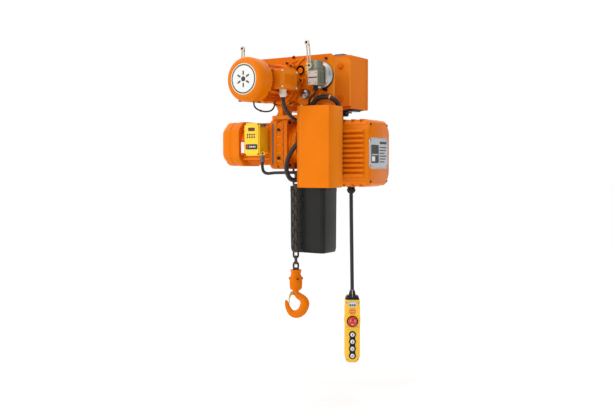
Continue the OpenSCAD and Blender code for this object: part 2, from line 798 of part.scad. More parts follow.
module slack_chain() {
    color("dimgray") translate([0, slack_y, 0])
        for (i = [0:slack_links - 1]) link(slack_top_z - i * chain_pitch, i % 2 == 0);
}

// Split block that clamps the chain's end link above the hook's swivel
module hook_block() {
    z = -block_depth;
    color("orange") difference() {
        rotate_extrude() polygon([[0, z], [18.5, z], [20, z - 1.5], [19, z - 6], [17, z - 13],
            [17.5, z - 19], [21, z - 26], [22.4, z - 60], [20.5, z - 69], [13, z - 73], [0, z - 73]]);
        rod_z(0, 0, 12.4, z - 28, z + 1);
        rod_z(0, 0, 14, z - 64, z - 50);
        rod_z(0, 0, 8.5 + fit, z - 74, z - 49);
    }
}

module block_bolts() {
    color("black") for (a = [-145, -42, 30]) rotate([0, 0, a])
        rod_x(0, -block_depth - 31, 3.6, 21.6, 25);
}

// Swivelling hook with its collar and the latch's pin, in a plane turned about Z
module hook() {
    color("orange") {
        rod_z(0, 0, 10.5, -726, -block_depth - 74);
        rod_z(0, 0, 8.5, -block_depth - 75, -block_depth - 52);
        rod_z(0, 0, 13.5, -block_depth - 62, -block_depth - 52);
        rotate([0, 0, pendant_turn]) {
            tube([for (p = hook_route) [p[0], 0, p[1]]], hook_radii, [0, 1, 0], 12, hook_flat);
            block([-17, -4.5, -733], [0, 4.5, -724]);
            rod_y(latch_pivot[0], latch_pivot[1], 2.5, -8, 8);
        }
    }
}

// Sheet-metal latch: two cheeks on the pin and a tongue that reaches inside the hook's tip
module latch() {
    color("gold") rotate([0, 0, pendant_turn]) difference() {
        union() {
            for (y = [-7, 5.6]) {
                rod_y(latch_pivot[0], latch_pivot[1], 5, y, y + 1.4);
                translate([0, y + 1.4, 0]) rotate([90, 0, 0]) linear_extrude(1.4)
                    polygon([[-11, -725], [-15, -723.5], [-20, -726], [-26, -748], [-24, -760],
                        [-22, -760], [-22, -748], [-13, -733]]);
            }
            translate([0, 7, 0]) rotate([90, 0, 0]) linear_extrude(14)
                polygon([[-25, -752], [-23.2, -762], [-21.5, -762], [-23, -752]]);
        }
        rod_y(latch_pivot[0], latch_pivot[1], 2.5 + fit, -9, 9);
    }
}

// ---- pendant ----

module at_pendant() translate([pendant_x, pendant_y, 0]) rotate([0, 0, pendant_turn]) children();

module pendant_cable() {
    color("black") tube(pendant_route, cable_r, [0, 1, 0], 10);
}

module pendant_shell() {
    front = -pendant_d / 2;
    color("gold") at_pendant() difference() {
        rounded_z([-pendant_w / 2, front, pendant_bottom],
            [pendant_w / 2, -front, pendant_top - cap_h - gap], 9);
        rounded_z([-pendant_w / 2 + 3, front + 3, pendant_bottom + 3],
            [pendant_w / 2 - 3, -front - 3, pendant_top - cap_h - 3], 6);
        for (z = button_z) rod_y(0, z, 7 + gap, front - 1, front + 4);
        rod_y(0, estop_z, 6 + gap, front - 1, front + 4);
    }
}

module pendant_cap() {
    color("black") at_pendant() translate([0, 0, pendant_top - cap_h])
        rotate_extrude() polygon([[0, 0], [24, 0], [23, 8], [20, cap_h], [0, cap_h]]);
}

module estop_button() {
    front = -pendant_d / 2;
    color("red") at_pendant() {
        rod_y(0, estop_z, 6, front - 8, front + 10);
        rod_y(0, estop_z, 15, front - 14, front - 7);
    }
}

module push_button(z) {
    front = -pendant_d / 2;
    color("white") at_pendant() rod_y(0, z, 7, front - 5, front + 10);
}
module up_button() push_button(button_z[0]);
module down_button() push_button(button_z[1]);
module left_button() push_button(button_z[2]);
module right_button() push_button(button_z[3]);

trolley_front_plate();
trolley_rear_plate();
suspension_shafts();
wheel_axles();
front_left_wheel();
front_right_wheel();
rear_left_wheel();
rear_right_wheel();
trolley_pinion();
trolley_countershaft();
trolley_rotor();
trolley_gearbox();
trolley_stator();
trolley_motor_cowl();
terminal_box();
terminal_cover();
cable_glands();
trolley_leads();
switch_brackets();
limit_switches();
left_lever();
right_lever();
left_roller();
right_roller();
bell_base();
bell_gong();
rear_box();
rear_box_lid();
socket_bolts();
suspension_yoke();
gear_housing();
gear_cover();
hoist_stator();
hoist_fan_cover();
hoist_rotor();
hoist_countershaft();
lift_wheel();
control_cover();
nameplate();
control_gear();
inverter_base();
inverter_lid();
hoist_leads();
front_box();
front_box_cover();
chain_bucket();
load_chain();
slack_chain();
hook_block();
block_bolts();
hook();
latch();
pendant_cable();
pendant_shell();
pendant_cap();
estop_button();
up_button();
down_button();
left_button();
right_button();
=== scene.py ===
import math

import bpy
from mathutils import Matrix, Vector


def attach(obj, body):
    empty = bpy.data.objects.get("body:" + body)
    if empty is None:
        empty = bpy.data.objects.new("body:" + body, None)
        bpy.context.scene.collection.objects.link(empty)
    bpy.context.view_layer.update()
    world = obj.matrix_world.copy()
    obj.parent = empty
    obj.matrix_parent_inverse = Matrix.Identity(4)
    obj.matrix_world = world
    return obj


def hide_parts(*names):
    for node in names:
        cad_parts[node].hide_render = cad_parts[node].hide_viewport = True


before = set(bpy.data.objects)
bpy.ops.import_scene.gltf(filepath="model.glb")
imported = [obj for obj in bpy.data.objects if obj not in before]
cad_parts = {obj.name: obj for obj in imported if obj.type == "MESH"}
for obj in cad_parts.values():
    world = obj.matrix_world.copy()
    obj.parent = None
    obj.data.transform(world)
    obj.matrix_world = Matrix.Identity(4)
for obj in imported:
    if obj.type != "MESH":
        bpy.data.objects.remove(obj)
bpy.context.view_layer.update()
scene = bpy.context.scene

# ---- camera, floor and light ----
eye = Vector((1.523, -2.332, -0.285))
pitch = math.radians(2.66)
ahead = Vector((-0.536 * math.cos(pitch), 0.844 * math.cos(pitch), -math.sin(pitch)))
camera = bpy.data.objects.new("camera", bpy.data.cameras.new("camera"))
scene.collection.objects.link(camera)
camera.location = eye
camera.rotation_mode = "QUATERNION"
camera.rotation_quaternion = ahead.to_track_quat("-Z", "Y")
camera.data.lens, camera.data.sensor_width = 46.8, 36.0
camera.data.clip_start, camera.data.clip_end = 0.05, 200.0
scene.camera = camera
scene.view_settings.view_transform = "Standard"


def lamp(name, place, aim, size, watts, tint=(1, 1, 1)):
    """A soft area light that looks at a point."""
    data = bpy.data.lights.new(name, "AREA")
    data.shape, data.size, data.size_y, data.energy = "RECTANGLE", size[0], size[1], watts
    data.color = tint
    ob = bpy.data.objects.new(name, data)
    ob.location = place
    ob.rotation_mode = "QUATERNION"
    ob.rotation_quaternion = (Vector(aim) - Vector(place)).to_track_quat("-Z", "Y")
    scene.collection.objects.link(ob)


lamp("key", (-1.9, -3.6, 1.5), (0, 0, -0.3), (1.6, 1.6), 26)
lamp("glint", (-0.9, -3.4, 2.2), (0, -0.1, -0.1), (0.22, 0.22), 9)
lamp("strip", (2.6, -0.6, 1.7), (0, 0, -0.2), (0.4, 1.2), 6)
lamp("top", (0.2, -0.6, 3.0), (0, 0, -0.2), (2.2, 2.2), 8)

world = bpy.data.worlds.new("studio")
scene.world = world
world.use_nodes = True
wt = world.node_tree
for n in list(wt.nodes):
    wt.nodes.remove(n)
w_out, w_bg = wt.nodes.new("ShaderNodeOutputWorld"), wt.nodes.new("ShaderNodeBackground")
w_co, w_sep = wt.nodes.new("ShaderNodeTexCoord"), wt.nodes.new("ShaderNodeSeparateXYZ")
w_ramp = wt.nodes.new("ShaderNodeValToRGB")
w_map = wt.nodes.new("ShaderNodeMapRange")
wt.links.new(w_co.outputs["Generated"], w_sep.inputs[0])
wt.links.new(w_sep.outputs["X"], w_map.inputs["Value"])
w_map.inputs["From Min"].default_value, w_map.inputs["From Max"].default_value = -1, 1
wt.links.new(w_map.outputs[0], w_ramp.inputs[0])
w_ramp.color_ramp.elements[0].position, w_ramp.color_ramp.elements[0].color = 0.45, (1, 1, 1, 1)
w_ramp.color_ramp.elements[1].position, w_ramp.color_ramp.elements[1].color = 0.9, (0.34, 0.34, 0.35, 1)
wt.links.new(w_ramp.outputs[0], w_bg.inputs[0])
w_up = wt.nodes.new("ShaderNodeMapRange")
w_up.inputs["From Min"].default_value, w_up.inputs["From Max"].default_value = 0.3, 0.9
w_up.inputs["To Min"].default_value, w_up.inputs["To Max"].default_value = 1.0, 1.7
wt.links.new(w_sep.outputs["Z"], w_up.inputs["Value"])
wt.links.new(w_up.outputs[0], w_bg.inputs[1])
wt.links.new(w_bg.outputs[0], w_out.inputs[0])


# ---- materials: every one has its own colour variation, roughness variation and grain ----
def srgb(c):
    """Screen colour 0 to 255 as linear."""
    return tuple(((v / 255 + 0.055) / 1.055) ** 2.4 if v > 10 else v / 255 / 12.92 for v in c)


def material(name, colour, rough, metal=0.0, coat=0.0, vary=0.06, scale=25.0, spread=0.06,
             grain=700.0, bump=0.02, stretch=(1, 1, 1), edge_highlight_colour=None, edge_highlight_share=0.3, spec=0.5):
    """A procedural material: cloudy colour, uneven gloss, fine bump, and convex edges mixed towards a paler or darker
    colour; paler, as in every use here, it is a painted highlight along the edges.
    """
    mat = bpy.data.materials.new(name)
    mat.use_nodes = True
    nt = mat.node_tree
    new, link = nt.nodes.new, nt.links.new
    b = nt.nodes["Principled BSDF"]
    base = srgb(colour)
    co, mp = new("ShaderNodeTexCoord"), new("ShaderNodeMapping")
    mp.inputs["Scale"].default_value = stretch
    link(co.outputs["Object"], mp.inputs[0])
    cloud, fine = new("ShaderNodeTexNoise"), new("ShaderNodeTexNoise")
    cloud.inputs["Scale"].default_value, cloud.inputs["Detail"].default_value = scale, 5
    fine.inputs["Scale"].default_value, fine.inputs["Detail"].default_value = grain, 2
    link(mp.outputs[0], cloud.inputs["Vector"])
    link(mp.outputs[0], fine.inputs["Vector"])
    ramp = new("ShaderNodeValToRGB")
    e = ramp.color_ramp.elements
    e[0].position, e[1].position = 0.3, 0.7
    e[0].color = [max(0.0, v * (1 - vary)) for v in base] + [1]
    e[1].color = [min(1.0, v * (1 + vary)) for v in base] + [1]
    link(cloud.outputs[0], ramp.inputs[0])
    out = ramp.outputs[0]
    # convex edges, found by pointiness, are mixed towards the paler edge colour: a painted highlight along every edge
    if edge_highlight_colour:
        geo, edge = new("ShaderNodeNewGeometry"), new("ShaderNodeMapRange")
        edge.inputs["From Min"].default_value, edge.inputs["From Max"].default_value = 0.53, 0.62
        edge.inputs["To Max"].default_value = edge_highlight_share
        link(geo.outputs["Pointiness"], edge.inputs["Value"])
        mix = new("ShaderNodeMix")
        mix.data_type = "RGBA"
        link(edge.outputs[0], mix.inputs[0])
        link(out, mix.inputs[6])
        mix.inputs[7].default_value = list(srgb(edge_highlight_colour)) + [1]
        out = mix.outputs[2]
    link(out, b.inputs["Base Color"])
    gloss = new("ShaderNodeMapRange")
    gloss.inputs["From Min"].default_value, gloss.inputs["From Max"].default_value = 0.3, 0.7
    gloss.inputs["To Min"].default_value = max(0.02, rough - spread)
    gloss.inputs["To Max"].default_value = min(1.0, rough + spread)
    link(cloud.outputs[0], gloss.inputs["Value"])
    link(gloss.outputs[0], b.inputs["Roughness"])
    bp = new("ShaderNodeBump")
    bp.inputs["Strength"].default_value, bp.inputs["Distance"].default_value = bump, 0.001
    link(fine.outputs[0], bp.inputs["Height"])
    link(bp.outputs[0], b.inputs["Normal"])
    b.inputs["Metallic"].default_value = metal
    b.inputs["Coat Weight"].default_value = coat
    b.inputs["Coat Roughness"].default_value = 0.12
    b.inputs["Specular IOR Level"].default_value = spec
    return mat


# the paler edge colours given below are painted highlights on convex edges
ORANGE = material("orange_paint", (226, 114, 1), 0.4, spec=0.05, vary=0.05, scale=9, grain=420, bump=0.06,
                  edge_highlight_colour=(250, 168, 60), edge_highlight_share=0.35)
SATIN = material("orange_smooth", (226, 117, 1), 0.27, spec=0.09, vary=0.03, scale=7, grain=300, bump=0.03,
                 edge_highlight_colour=(252, 176, 70))
RUST = material("orange_deep", (218, 100, 1), 0.42, spec=0.06, vary=0.09, scale=16, grain=420, bump=0.08,
                edge_highlight_colour=(238, 120, 30))
STEEL = material("bright_steel", (150, 148, 144), 0.26, metal=1, vary=0.07, scale=30, grain=900, bump=0.03,
                 stretch=(1, 1, 6), edge_highlight_colour=(235, 235, 238))
TURNED = material("machined_steel", (150, 150, 152), 0.34, metal=1, vary=0.1, scale=40, grain=1200, bump=0.06,
                  edge_highlight_colour=(205, 205, 206), edge_highlight_share=0.4)
CAST = material("cast_iron", (92, 88, 86), 0.55, metal=0.6, vary=0.15, scale=35, grain=500, bump=0.2,
                edge_highlight_colour=(140, 136, 132), edge_highlight_share=0.4)
CREAM = material("gland_cream", (214, 208, 190), 0.42, vary=0.05, scale=30, grain=500, bump=0.04,
                 edge_highlight_colour=(232, 228, 214))
RUBBER = material("black_rubber", (26, 25, 25), 0.5, vary=0.2, scale=30, grain=900, bump=0.08,
                  edge_highlight_colour=(58, 57, 56))
ZINC = material("yellow_zinc", (196, 158, 74), 0.33, metal=0.9, vary=0.16, scale=28, grain=600, bump=0.05,
                edge_highlight_colour=(226, 202, 140), edge_highlight_share=0.4)
ALLOY = material("switch_alloy", (176, 164, 152), 0.45, metal=0.4, spec=0.3, vary=0.07, scale=30, grain=600, bump=0.12,
                 edge_highlight_colour=(222, 212, 206), edge_highlight_share=0.4)
PLASTIC = material("black_plastic", (20, 20, 17), 0.36, spec=0.3, vary=0.12, scale=12, grain=500, bump=0.1,
                   edge_highlight_colour=(44, 44, 40))
CHROME = material("gong_nickel", (176, 176, 174), 0.24, metal=0.85, vary=0.05, scale=14, spread=0.05, grain=300,
        bump=0.02)
BOLT = material("black_bolt", (38, 37, 38), 0.36, metal=0.7, vary=0.15, scale=60, grain=900, bump=0.06,
                edge_highlight_colour=(96, 94, 92), edge_highlight_share=0.4)
PLATE = material("plate_alloy", (186, 188, 192), 0.3, metal=0.85, vary=0.06, scale=20, grain=500, bump=0.08,
                 stretch=(1, 1, 8), edge_highlight_colour=(224, 225, 228))
YELLOW = material("pendant_yellow", (248, 190, 26), 0.33, coat=0.15, vary=0.03, scale=12, grain=500, bump=0.04,
                  edge_highlight_colour=(254, 214, 96), edge_highlight_share=0.35)
LEMON = material("inverter_yellow", (252, 206, 4), 0.38, coat=0.1, vary=0.03, scale=12, grain=500, bump=0.04,
                 edge_highlight_colour=(255, 224, 90))
CHAIN = material("chain_steel", (62, 56, 50), 0.36, metal=0.9, vary=0.2, scale=70, grain=900, bump=0.1,
                 edge_highlight_colour=(120, 112, 102), edge_highlight_share=0.5)
RED = material("red_plastic", (206, 22, 26), 0.28, coat=0.3, vary=0.05, scale=25, grain=500, bump=0.03,
               edge_highlight_colour=(232, 70, 66))
WHITE = material("white_plastic", (226, 226, 222), 0.35, vary=0.03, scale=30, grain=500, bump=0.03,
                 edge_highlight_colour=(244, 244, 242), edge_highlight_share=0.2)
GREY = material("gasket_grey", (104, 102, 100), 0.6, vary=0.1, scale=40, grain=700, bump=0.15)
BRASS = material("brass", (184, 146, 84), 0.3, metal=1, vary=0.12, scale=40, grain=700, bump=0.05,
                 edge_highlight_colour=(222, 192, 130), edge_highlight_share=0.4)
OLIVE = material("switch_side", (128, 130, 112), 0.45, metal=0.4, vary=0.08, scale=30, grain=600, bump=0.12, spec=0.3,
                 edge_highlight_colour=(176, 176, 158), edge_highlight_share=0.4)
LEVER = material("lever_steel", (186, 172, 146), 0.42, metal=0.3, vary=0.1, scale=40, grain=800, bump=0.05, spec=0.3,
                 edge_highlight_colour=(176, 168, 150))
LABEL = material("label_blue", (150, 172, 196), 0.3, metal=0.4, vary=0.05, scale=40, grain=500, bump=0.02)
SILVER = material("label_silver", (196, 197, 200), 0.32, metal=0.5, vary=0.04, scale=40, grain=500, bump=0.03)
MAROON = material("display_red", (88, 14, 14), 0.14, coat=0.5, vary=0.1, scale=60, grain=400, bump=0.01)
INK = material("ink_dark", (44, 42, 42), 0.4, vary=0.1, scale=60, grain=500, bump=0.02)
FLOOR = material("floor", (238, 238, 238), 0.85, vary=0.01, scale=0.8, grain=30, bump=0.02)

floor_mesh = bpy.data.meshes.new("floor")
floor_mesh.from_pydata([(-40, -40, -1.06), (40, -40, -1.06), (40, 40, -1.06), (-40, 40, -1.06)], [], [(0, 1, 2, 3)])
floor_mesh.materials.append(FLOOR)
floor = bpy.data.objects.new("floor", floor_mesh)
scene.collection.objects.link(floor)


# ---- building kit; sizes in mm ----
class Piece:
    """Closed shapes gathered into one mesh, each with its own finish."""

    def __init__(self, mat, place=None):
        self.v, self.f, self.m, self.mats = [], [], [], []
        self.place = place or Matrix.Identity(4)
        self.use(mat)

    def use(self, mat):
        if mat not in self.mats:
            self.mats.append(mat)
        self.now = self.mats.index(mat)
        return self

    def add(self, verts, faces):
        n = len(self.v)
        self.v += [self.place @ Vector(p) for p in verts]
        self.f += [[n + i for i in f] for f in faces]
        self.m += [self.now] * len(faces)
        return self

    def rings(self, rings, closed=False):
        """Skin over rings of equal length, with end caps unless it closes on itself."""
        k, m = len(rings[0]), len(rings)
        faces = []
        for i in range(m if closed else m - 1):
            a, b = i * k, ((i + 1) % m) * k
            faces += [[a + j, a + (j + 1) % k, b + (j + 1) % k, b + j] for j in range(k)]
        if not closed:
            faces += [list(range(k - 1, -1, -1)), [(m - 1) * k + j for j in range(k)]]
        return self.add([p for r in rings for p in r], faces)

    def box(self, lo, hi):
        (x, y, z), (u, v, w) = lo, hi
        return self.rings([[(x, y, z), (u, y, z), (u, v, z), (x, v, z)], [(x, y, w), (u, y, w), (u, v, w), (x, v, w)]])

    def prism(self, axis, outline, a, b):
        """An outline in the plane across an axis, given in the order y,z or x,z or x,y, drawn out along it."""
        return self.rings([[spot(axis, p, q, t) for p, q in outline] for t in (a, b)])

    def lathe(self, axis, c, profile, seg=48):
        """A profile of (radius, place along the axis), with its ends on the axis or capped flat."""
        return self.rings([[spot(axis, c[0] + r * math.cos(2 * math.pi * j / seg),
                                 c[1] + r * math.sin(2 * math.pi * j / seg), t) for j in range(seg)]
                           for r, t in [(max(r, 0.01), t) for r, t in profile]])

    def rod(self, axis, c, r, a, b, seg=32):
        return self.lathe(axis, c, [(r, a), (r, b)], seg)

    def torus(self, axis, c, t, big, small, seg=48, sub=12):
        """A ring of round wire about an axis."""
        rings = []
        for i in range(seg):
            a = 2 * math.pi * i / seg
            rings.append([spot(axis, c[0] + (big + small * math.cos(2 * math.pi * j / sub)) * math.cos(a),
                               c[1] + (big + small * math.cos(2 * math.pi * j / sub)) * math.sin(a),
                               t + small * math.sin(2 * math.pi * j / sub)) for j in range(sub)])
        return self.rings(rings, closed=True)

    def tube(self, path, radius, seg=16, ref=(0, 0, 1), closed=False):
        """A tube along points; radius is a number or one for each point."""
        pts = [Vector(p) for p in path]
        n, rings, side = len(pts), [], Vector(ref)
        for i, p in enumerate(pts):
            a = pts[(i - 1) % n] if closed else pts[max(i - 1, 0)]
            b = pts[(i + 1) % n] if closed else pts[min(i + 1, n - 1)]
            t = (b - a).normalized()
            u = side = (side - side.dot(t) * t).normalized()
            w = t.cross(u)
            r = radius[i] if isinstance(radius, (list, tuple)) else radius
            rings.append([p + r * (math.cos(2 * math.pi * j / seg) * u + math.sin(2 * math.pi * j / seg) * w)
                          for j in range(seg)])
        return self.rings(rings, closed)

    def done(self, name, body, replaces=(), slot=None, bevel=0.5, angle=34, steps=2):
        me = bpy.data.meshes.new(name)
        me.from_pydata([p * 0.001 for p in self.v], [], self.f)
        for mat in self.mats:
            me.materials.append(mat)
        me.polygons.foreach_set("material_index", self.m)
        me.polygons.foreach_set("use_smooth", [True] * len(self.f))
        tidy(me)
        me.set_sharp_from_angle(angle=math.radians(angle))
        ob = bpy.data.objects.new(name, me)
        scene.collection.objects.link(ob)
        if bevel:
            b = ob.modifiers.new("bevel", "BEVEL")
            b.width, b.segments, b.limit_method, b.angle_limit = bevel * 0.001, steps, "ANGLE", math.radians(angle)
            b.harden_normals = True
        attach(ob, body)
        if replaces:
            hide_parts(*replaces)
        return ob


def tidy(me):
    """Faces turned outwards, shape by shape."""
    import bmesh
    bm = bmesh.new()
    bm.from_mesh(me)
    bmesh.ops.recalc_face_normals(bm, faces=bm.faces)
    bm.to_mesh(me)
    bm.free()


def spot(axis, p, q, t):
    return {"x": (t, p, q), "y": (p, t, q), "z": (p, q, t)}[axis]


def rounded(x0, y0, x1, y1, r, n=5):
    """Outline of a rectangle with corners of radius r."""
    out = []
    for cx, cy, a0 in ((x0, y0, 180), (x1, y0, 270), (x1, y1, 0), (x0, y1, 90)):
        px, py = cx + (r if cx == x0 else -r), cy + (r if cy == y0 else -r)
        for j in range(n + 1):
            a = math.radians(a0 + 90 * j / n)
            out.append((px + r * math.cos(a), py + r * math.sin(a)))
    return out


def smooth_path(points, n=6):
    """A curve through points, n steps to each."""
    p = [Vector(v) for v in points]
    p = [2 * p[0] - p[1]] + p + [2 * p[-1] - p[-2]]
    out = []
    for i in range(1, len(p) - 2):
        for k in range(n):
            t = k / n
            out.append(0.5 * (2 * p[i] + (p[i + 1] - p[i - 1]) * t + (2 * p[i - 1] - 5 * p[i] + 4 * p[i + 1] - p[i + 2]) * t * t
                              + (3 * p[i] - p[i - 1] - 3 * p[i + 1] + p[i + 2]) * t ** 3))
    return out + [p[-2]]


def finish_on(node, mat):
    """The material of a CAD node that is shown as it is."""
    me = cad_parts[node].data
    me.materials.clear()
    me.materials.append(mat)


def screw_head(p, axis, c, r, base, top, mat):
    """A cap screw: a round head from base to top with its socket sunk into it."""
    s = 1 if top > base else -1
    p.use(mat)
    p.lathe(axis, c, [(r, base), (r, top - 0.18 * r * s), (0.86 * r, top), (0.5 * r, top),
                      (0.5 * r, top - 0.45 * r * s), (0.01, top - 0.45 * r * s)], 24)


def screws(p, axis, places, r, base, top, mat):
    """The same cap screw at several places."""
    for c in places:
        screw_head(p, axis, c, r, base, top, mat)


def grid(us, vs):
    return [(u, v) for u in us for v in vs]


def rect(x0, y0, x1, y1):
    return [(x0, y0), (x1, y0), (x1, y1), (x0, y1)]


def turns(angles):
    """Cosine and sine of each angle in degrees."""
    return [(math.cos(math.radians(a)), math.sin(math.radians(a))) for a in angles]


def spoke(c, turn, r0, r1, w0, w1):
    """Outline of a bar that points away from a centre, from r0 to r1, with half widths w0 and w1."""
    (cx, cy), (u, v) = c, turn
    return [(cx + r0 * u - w0 * v, cy + r0 * v + w0 * u), (cx + r0 * u + w0 * v, cy + r0 * v - w0 * u),
            (cx + r1 * u + w1 * v, cy + r1 * v - w1 * u), (cx + r1 * u - w1 * v, cy + r1 * v + w1 * u)]


def bar(x0, y0, x1, y1, w):
    """Outline of a bar between two points, with half width w."""
    dx, dy = x1 - x0, y1 - y0
    k = w / math.hypot(dx, dy)
    return [(x0 - dy * k, y0 + dx * k), (x0 + dy * k, y0 - dx * k), (x1 + dy * k, y1 - dx * k), (x1 - dy * k,
            y1 + dx * k)]


# ---- places shared by several pieces; Y and Z, or X and Z, as the axis leaves ----
LIFT = (33, -202)
DRIVE = (0, -6.65)
LEVER_PIVOT, LEVER_END = (137, 45), (130, 119)
LATCH_PIN = (-15, -728)
STOP = (0, -808)
OPERATOR = math.radians(32.4)
BLOCK_BOLTS = (-145, -42, 30)
BELL = (143, 19)


# ---- free cord: pendant cable ----
route = [(203, 33, -354), (203, 33, -372), (203.2, 33, -400), (203.6, 33, -430), (204, 33, -460), (204.5, 33, -490),
         (205, 33, -520), (205.5, 33, -550), (206, 33, -580), (206.5, 33, -610), (207, 33, -640), (207.5, 33, -670),
         (207.9, 33, -700), (208, 33, -721)]
cable_path = smooth_path(route, 3)
cable = Piece(RUBBER).tube(cable_path, 6.3, 20, ref=(1, 0, 0)).done("cable", "pendant", ["pendant_cable"],
        "black_rubber", bevel=0)


# ---- hoist: control cover with its ribs ----
p = Piece(SATIN)


def eased(pts, cut, n=3):
    """A closed outline with its corners rounded off over a length."""
    out = []
    for i, q in enumerate(pts):
        a, b = Vector(pts[i - 1] + (0,)), Vector(pts[(i + 1) % len(pts)] + (0,))
        v = Vector(q + (0,))
        u, w = v + (a - v).normalized() * cut, v + (b - v).normalized() * cut
        for k in range(n + 1):
            t = k / n
            e = (1 - t) ** 2 * u + 2 * t * (1 - t) * v + t * t * w
            out.append((e.x, e.y))
    return out


body_yz = eased([(-24, -130), (91, -130), (113, -160), (113, -318), (91, -348), (-24, -348), (-46, -318), (-46, -160)],
        9, 4)
p.rings([[(x, c[0] + (33.5 - c[0]) * k, c[1] + (-239 - c[1]) * k) for c in body_yz]
         for x, k in ((44.3, 0), (290, 0), (300, 0.012), (306, 0.05), (309.3, 0.11))])
for s, y0, y1 in ((-1, -46, -56.5), (1, 113, 121)):
    for i in range(10):
        z = -167.5 - 16.0 * i
        half = 5.3
        outline = [(y0 - s * 3, z + half + 0.6), (y1 - s * 5, z + half), (y1 - s * 2.6, z + half - 0.8), (y1 - s * 0.9,
                z + half - 2.3),
                   (y1, z + 1.2), (y1, z - 1.2), (y1 - s * 0.9, z - half + 2.3), (y1 - s * 2.6,
                           z - half + 0.8), (y1 - s * 5, z - half),
                   (y0 - s * 3, z - half - 0.6)]
        inner = [(y0 - s * 3 + (u - (y0 - s * 3)) * 0.15, z + (w - z) * 0.7) for u, w in outline]
        p.rings([[(x, u, w) for u, w in o] for x, o in ((58, inner), (62, outline), (293, outline), (299, inner))])
    p.prism("x", [(y0 + s * -22, -133), (y0 + s * -17, -136.5), (y0 + s * -9, -146), (y0 + s * -12, -150)], 60, 297)
    p.prism("x", [(y0 + s * -22, -345), (y0 + s * -17, -341.5), (y0 + s * -9, -332), (y0 + s * -12, -328)], 60, 297)
for i in range(7):
    x = 76 + 32 * i
    p.box((x, -30, -131), (x + 9, 97, -127.4))
    p.box((x, -30, -350.4), (x + 9, 97, -347))
screws(p, "x", ((-24, -146), (91, -146), (-24, -332), (91, -332)), 4.6, 305.6, 309.2, BOLT)
p.use(GREY)
p.prism("x", [(y + (33.5 - y) * -0.01, z + (-239 - z) * -0.006) for y, z in body_yz], 43.9, 44.4)
p.done("control_cover_shell", "frame", ["control_cover"], "orange_paint", bevel=1.6, steps=3)

# nameplate: silver frame, dark window, blank data panel with plain rules
p = Piece(PLATE)
p.prism("x", rounded(-38, -291, 94, -188, 14, 6), 306, 310.4)
p.use(SILVER).prism("x", rounded(-33, -286, 89, -193, 10, 6), 310.2, 310.8)
p.use(INK).prism("x", rounded(-27, -272, 26, -212, 4, 4), 310.6, 311.1)
p.use(SILVER).prism("x", rounded(-22, -246, 21, -242, 1, 2), 310.9, 311.3)
p.use(WHITE).prism("x", rounded(-22, -266, 0, -250, 1, 2), 310.9, 311.3)
p.use(INK)
for i in range(6):
    p.prism("x", rounded(33, -222 - 9.5 * i, 82 - 7 * (i % 3), -218.5 - 9.5 * i, 0.6, 2), 310.7, 311.05)
p.prism("x", rounded(33, -209, 82, -201, 1, 2), 310.7, 311.05)
screws(p, "x", ((-30, -198), (86, -198), (-30, -281), (86, -281)), 2.4, 310.5, 312, STEEL)
p.done("nameplate_panel", "frame", ["nameplate"], "plate_alloy", bevel=0.3)

# ---- gear cover and gear housing ----
p = Piece(ORANGE)
p.lathe("x", LIFT, [(80, 19.3), (80, 24), (79, 28.3), (69, 28.9), (68, 31), (68, 44)], 72)
p.prism("x", rect(-49, -135, 116, -343), 40, 43.8)
bosses = [(LIFT[0] + 74 * c, LIFT[1] + 74 * s) for c, s in turns(90 + 22.5 * k for k in range(9))]
for c in bosses:
    p.rod("x", c, 7.6, 20, 29.4, 24)
for turn in turns(range(112, 263, 30)):
    p.prism("x", spoke(LIFT, turn, 66, 71, 2.2, 2.2), 30, 43)
screws(p, "x", bosses, 5, 29.4, 34, BOLT)
p.done("gear_cover_shell", "frame", ["gear_cover"], "orange_paint", bevel=1.0)

p = Piece(ORANGE)
case_yz = rounded(-54, -292, 121, -120, 22, 6)


def case(k, x):
    return [(x, y + (33.5 - y) * k, z + (-206 - z) * k) for y, z in case_yz]


p.rings([case(0.06, -80), case(0.06, -74), case(0.0, -72), case(0.0, -64)])
p.use(GREY).rings([case(0.012, -64), case(0.012, -56)])
p.use(ORANGE).rings([case(0.0, -56), case(0.0, -46), case(0.03, -43), case(0.045, -30), case(0.045, -22), case(0.0,
        -18)])
p.use(INK).rings([case(0.015, -18), case(0.015, -15.4)])
p.use(ORANGE).rings([case(0.0, -15.4), case(0.0, -1)])
p.lathe("x", LIFT, [(80, -2), (80, 8), (77, 10), (77, 15), (80, 17), (80, 19.2)], 72)
for z in (-264, -236, -208, -180, -152):
    p.prism("y", rect(-44, z - 2.5, -24, z + 2.5), -53, 120)
for y in (-28, 4, 36, 68, 96):
    p.prism("z", rect(-44, y - 2.5, -24, y + 2.5), -291, -121)
corners = ((-42, -132), (109, -132), (-42, -280), (109, -280))
for c in corners:
    p.rod("x", c, 9.5, -71, -48, 24)
    p.rod("x", c, 9.5, -18, -1.5, 24)
screws(p, "x", corners, 6, -48, -41.5, BOLT)
screws(p, "y", ((-36, -156), (-36, -254)), 5.5, -52, -57.5, BOLT)
p.done("gear_housing_shell", "frame", ["gear_housing"], "orange_paint", bevel=1.2, steps=3)

# ---- hoist motor: finned stator and fan cover ----
p = Piece(ORANGE)
p.lathe("x", LIFT, [(70, -213), (71.5, -205), (72.2, -146), (71, -88), (74, -86), (75.5, -84), (75.5, -80.4)], 72)
for turn in turns(7.5 * (k + 0.5) for k in range(48)):
    p.rings([[(x, (y - LIFT[0]) * g + LIFT[0], (z - LIFT[1]) * g + LIFT[1]) for y, z in spoke(LIFT, turn, 69, 76, 1.7,
            1.1)]
             for x, g in ((-210, 0.955), (-204, 0.99), (-148, 1.0), (-96, 0.99), (-90, 0.955))])
for c, s in turns((45, 135, 225, 315)):
    p.rod("x", (LIFT[0] + 73 * c, LIFT[1] + 73 * s), 6.5, -212, -84, 20)
p.done("hoist_motor_body", "frame", ["hoist_stator"], "orange_paint", bevel=0.5)


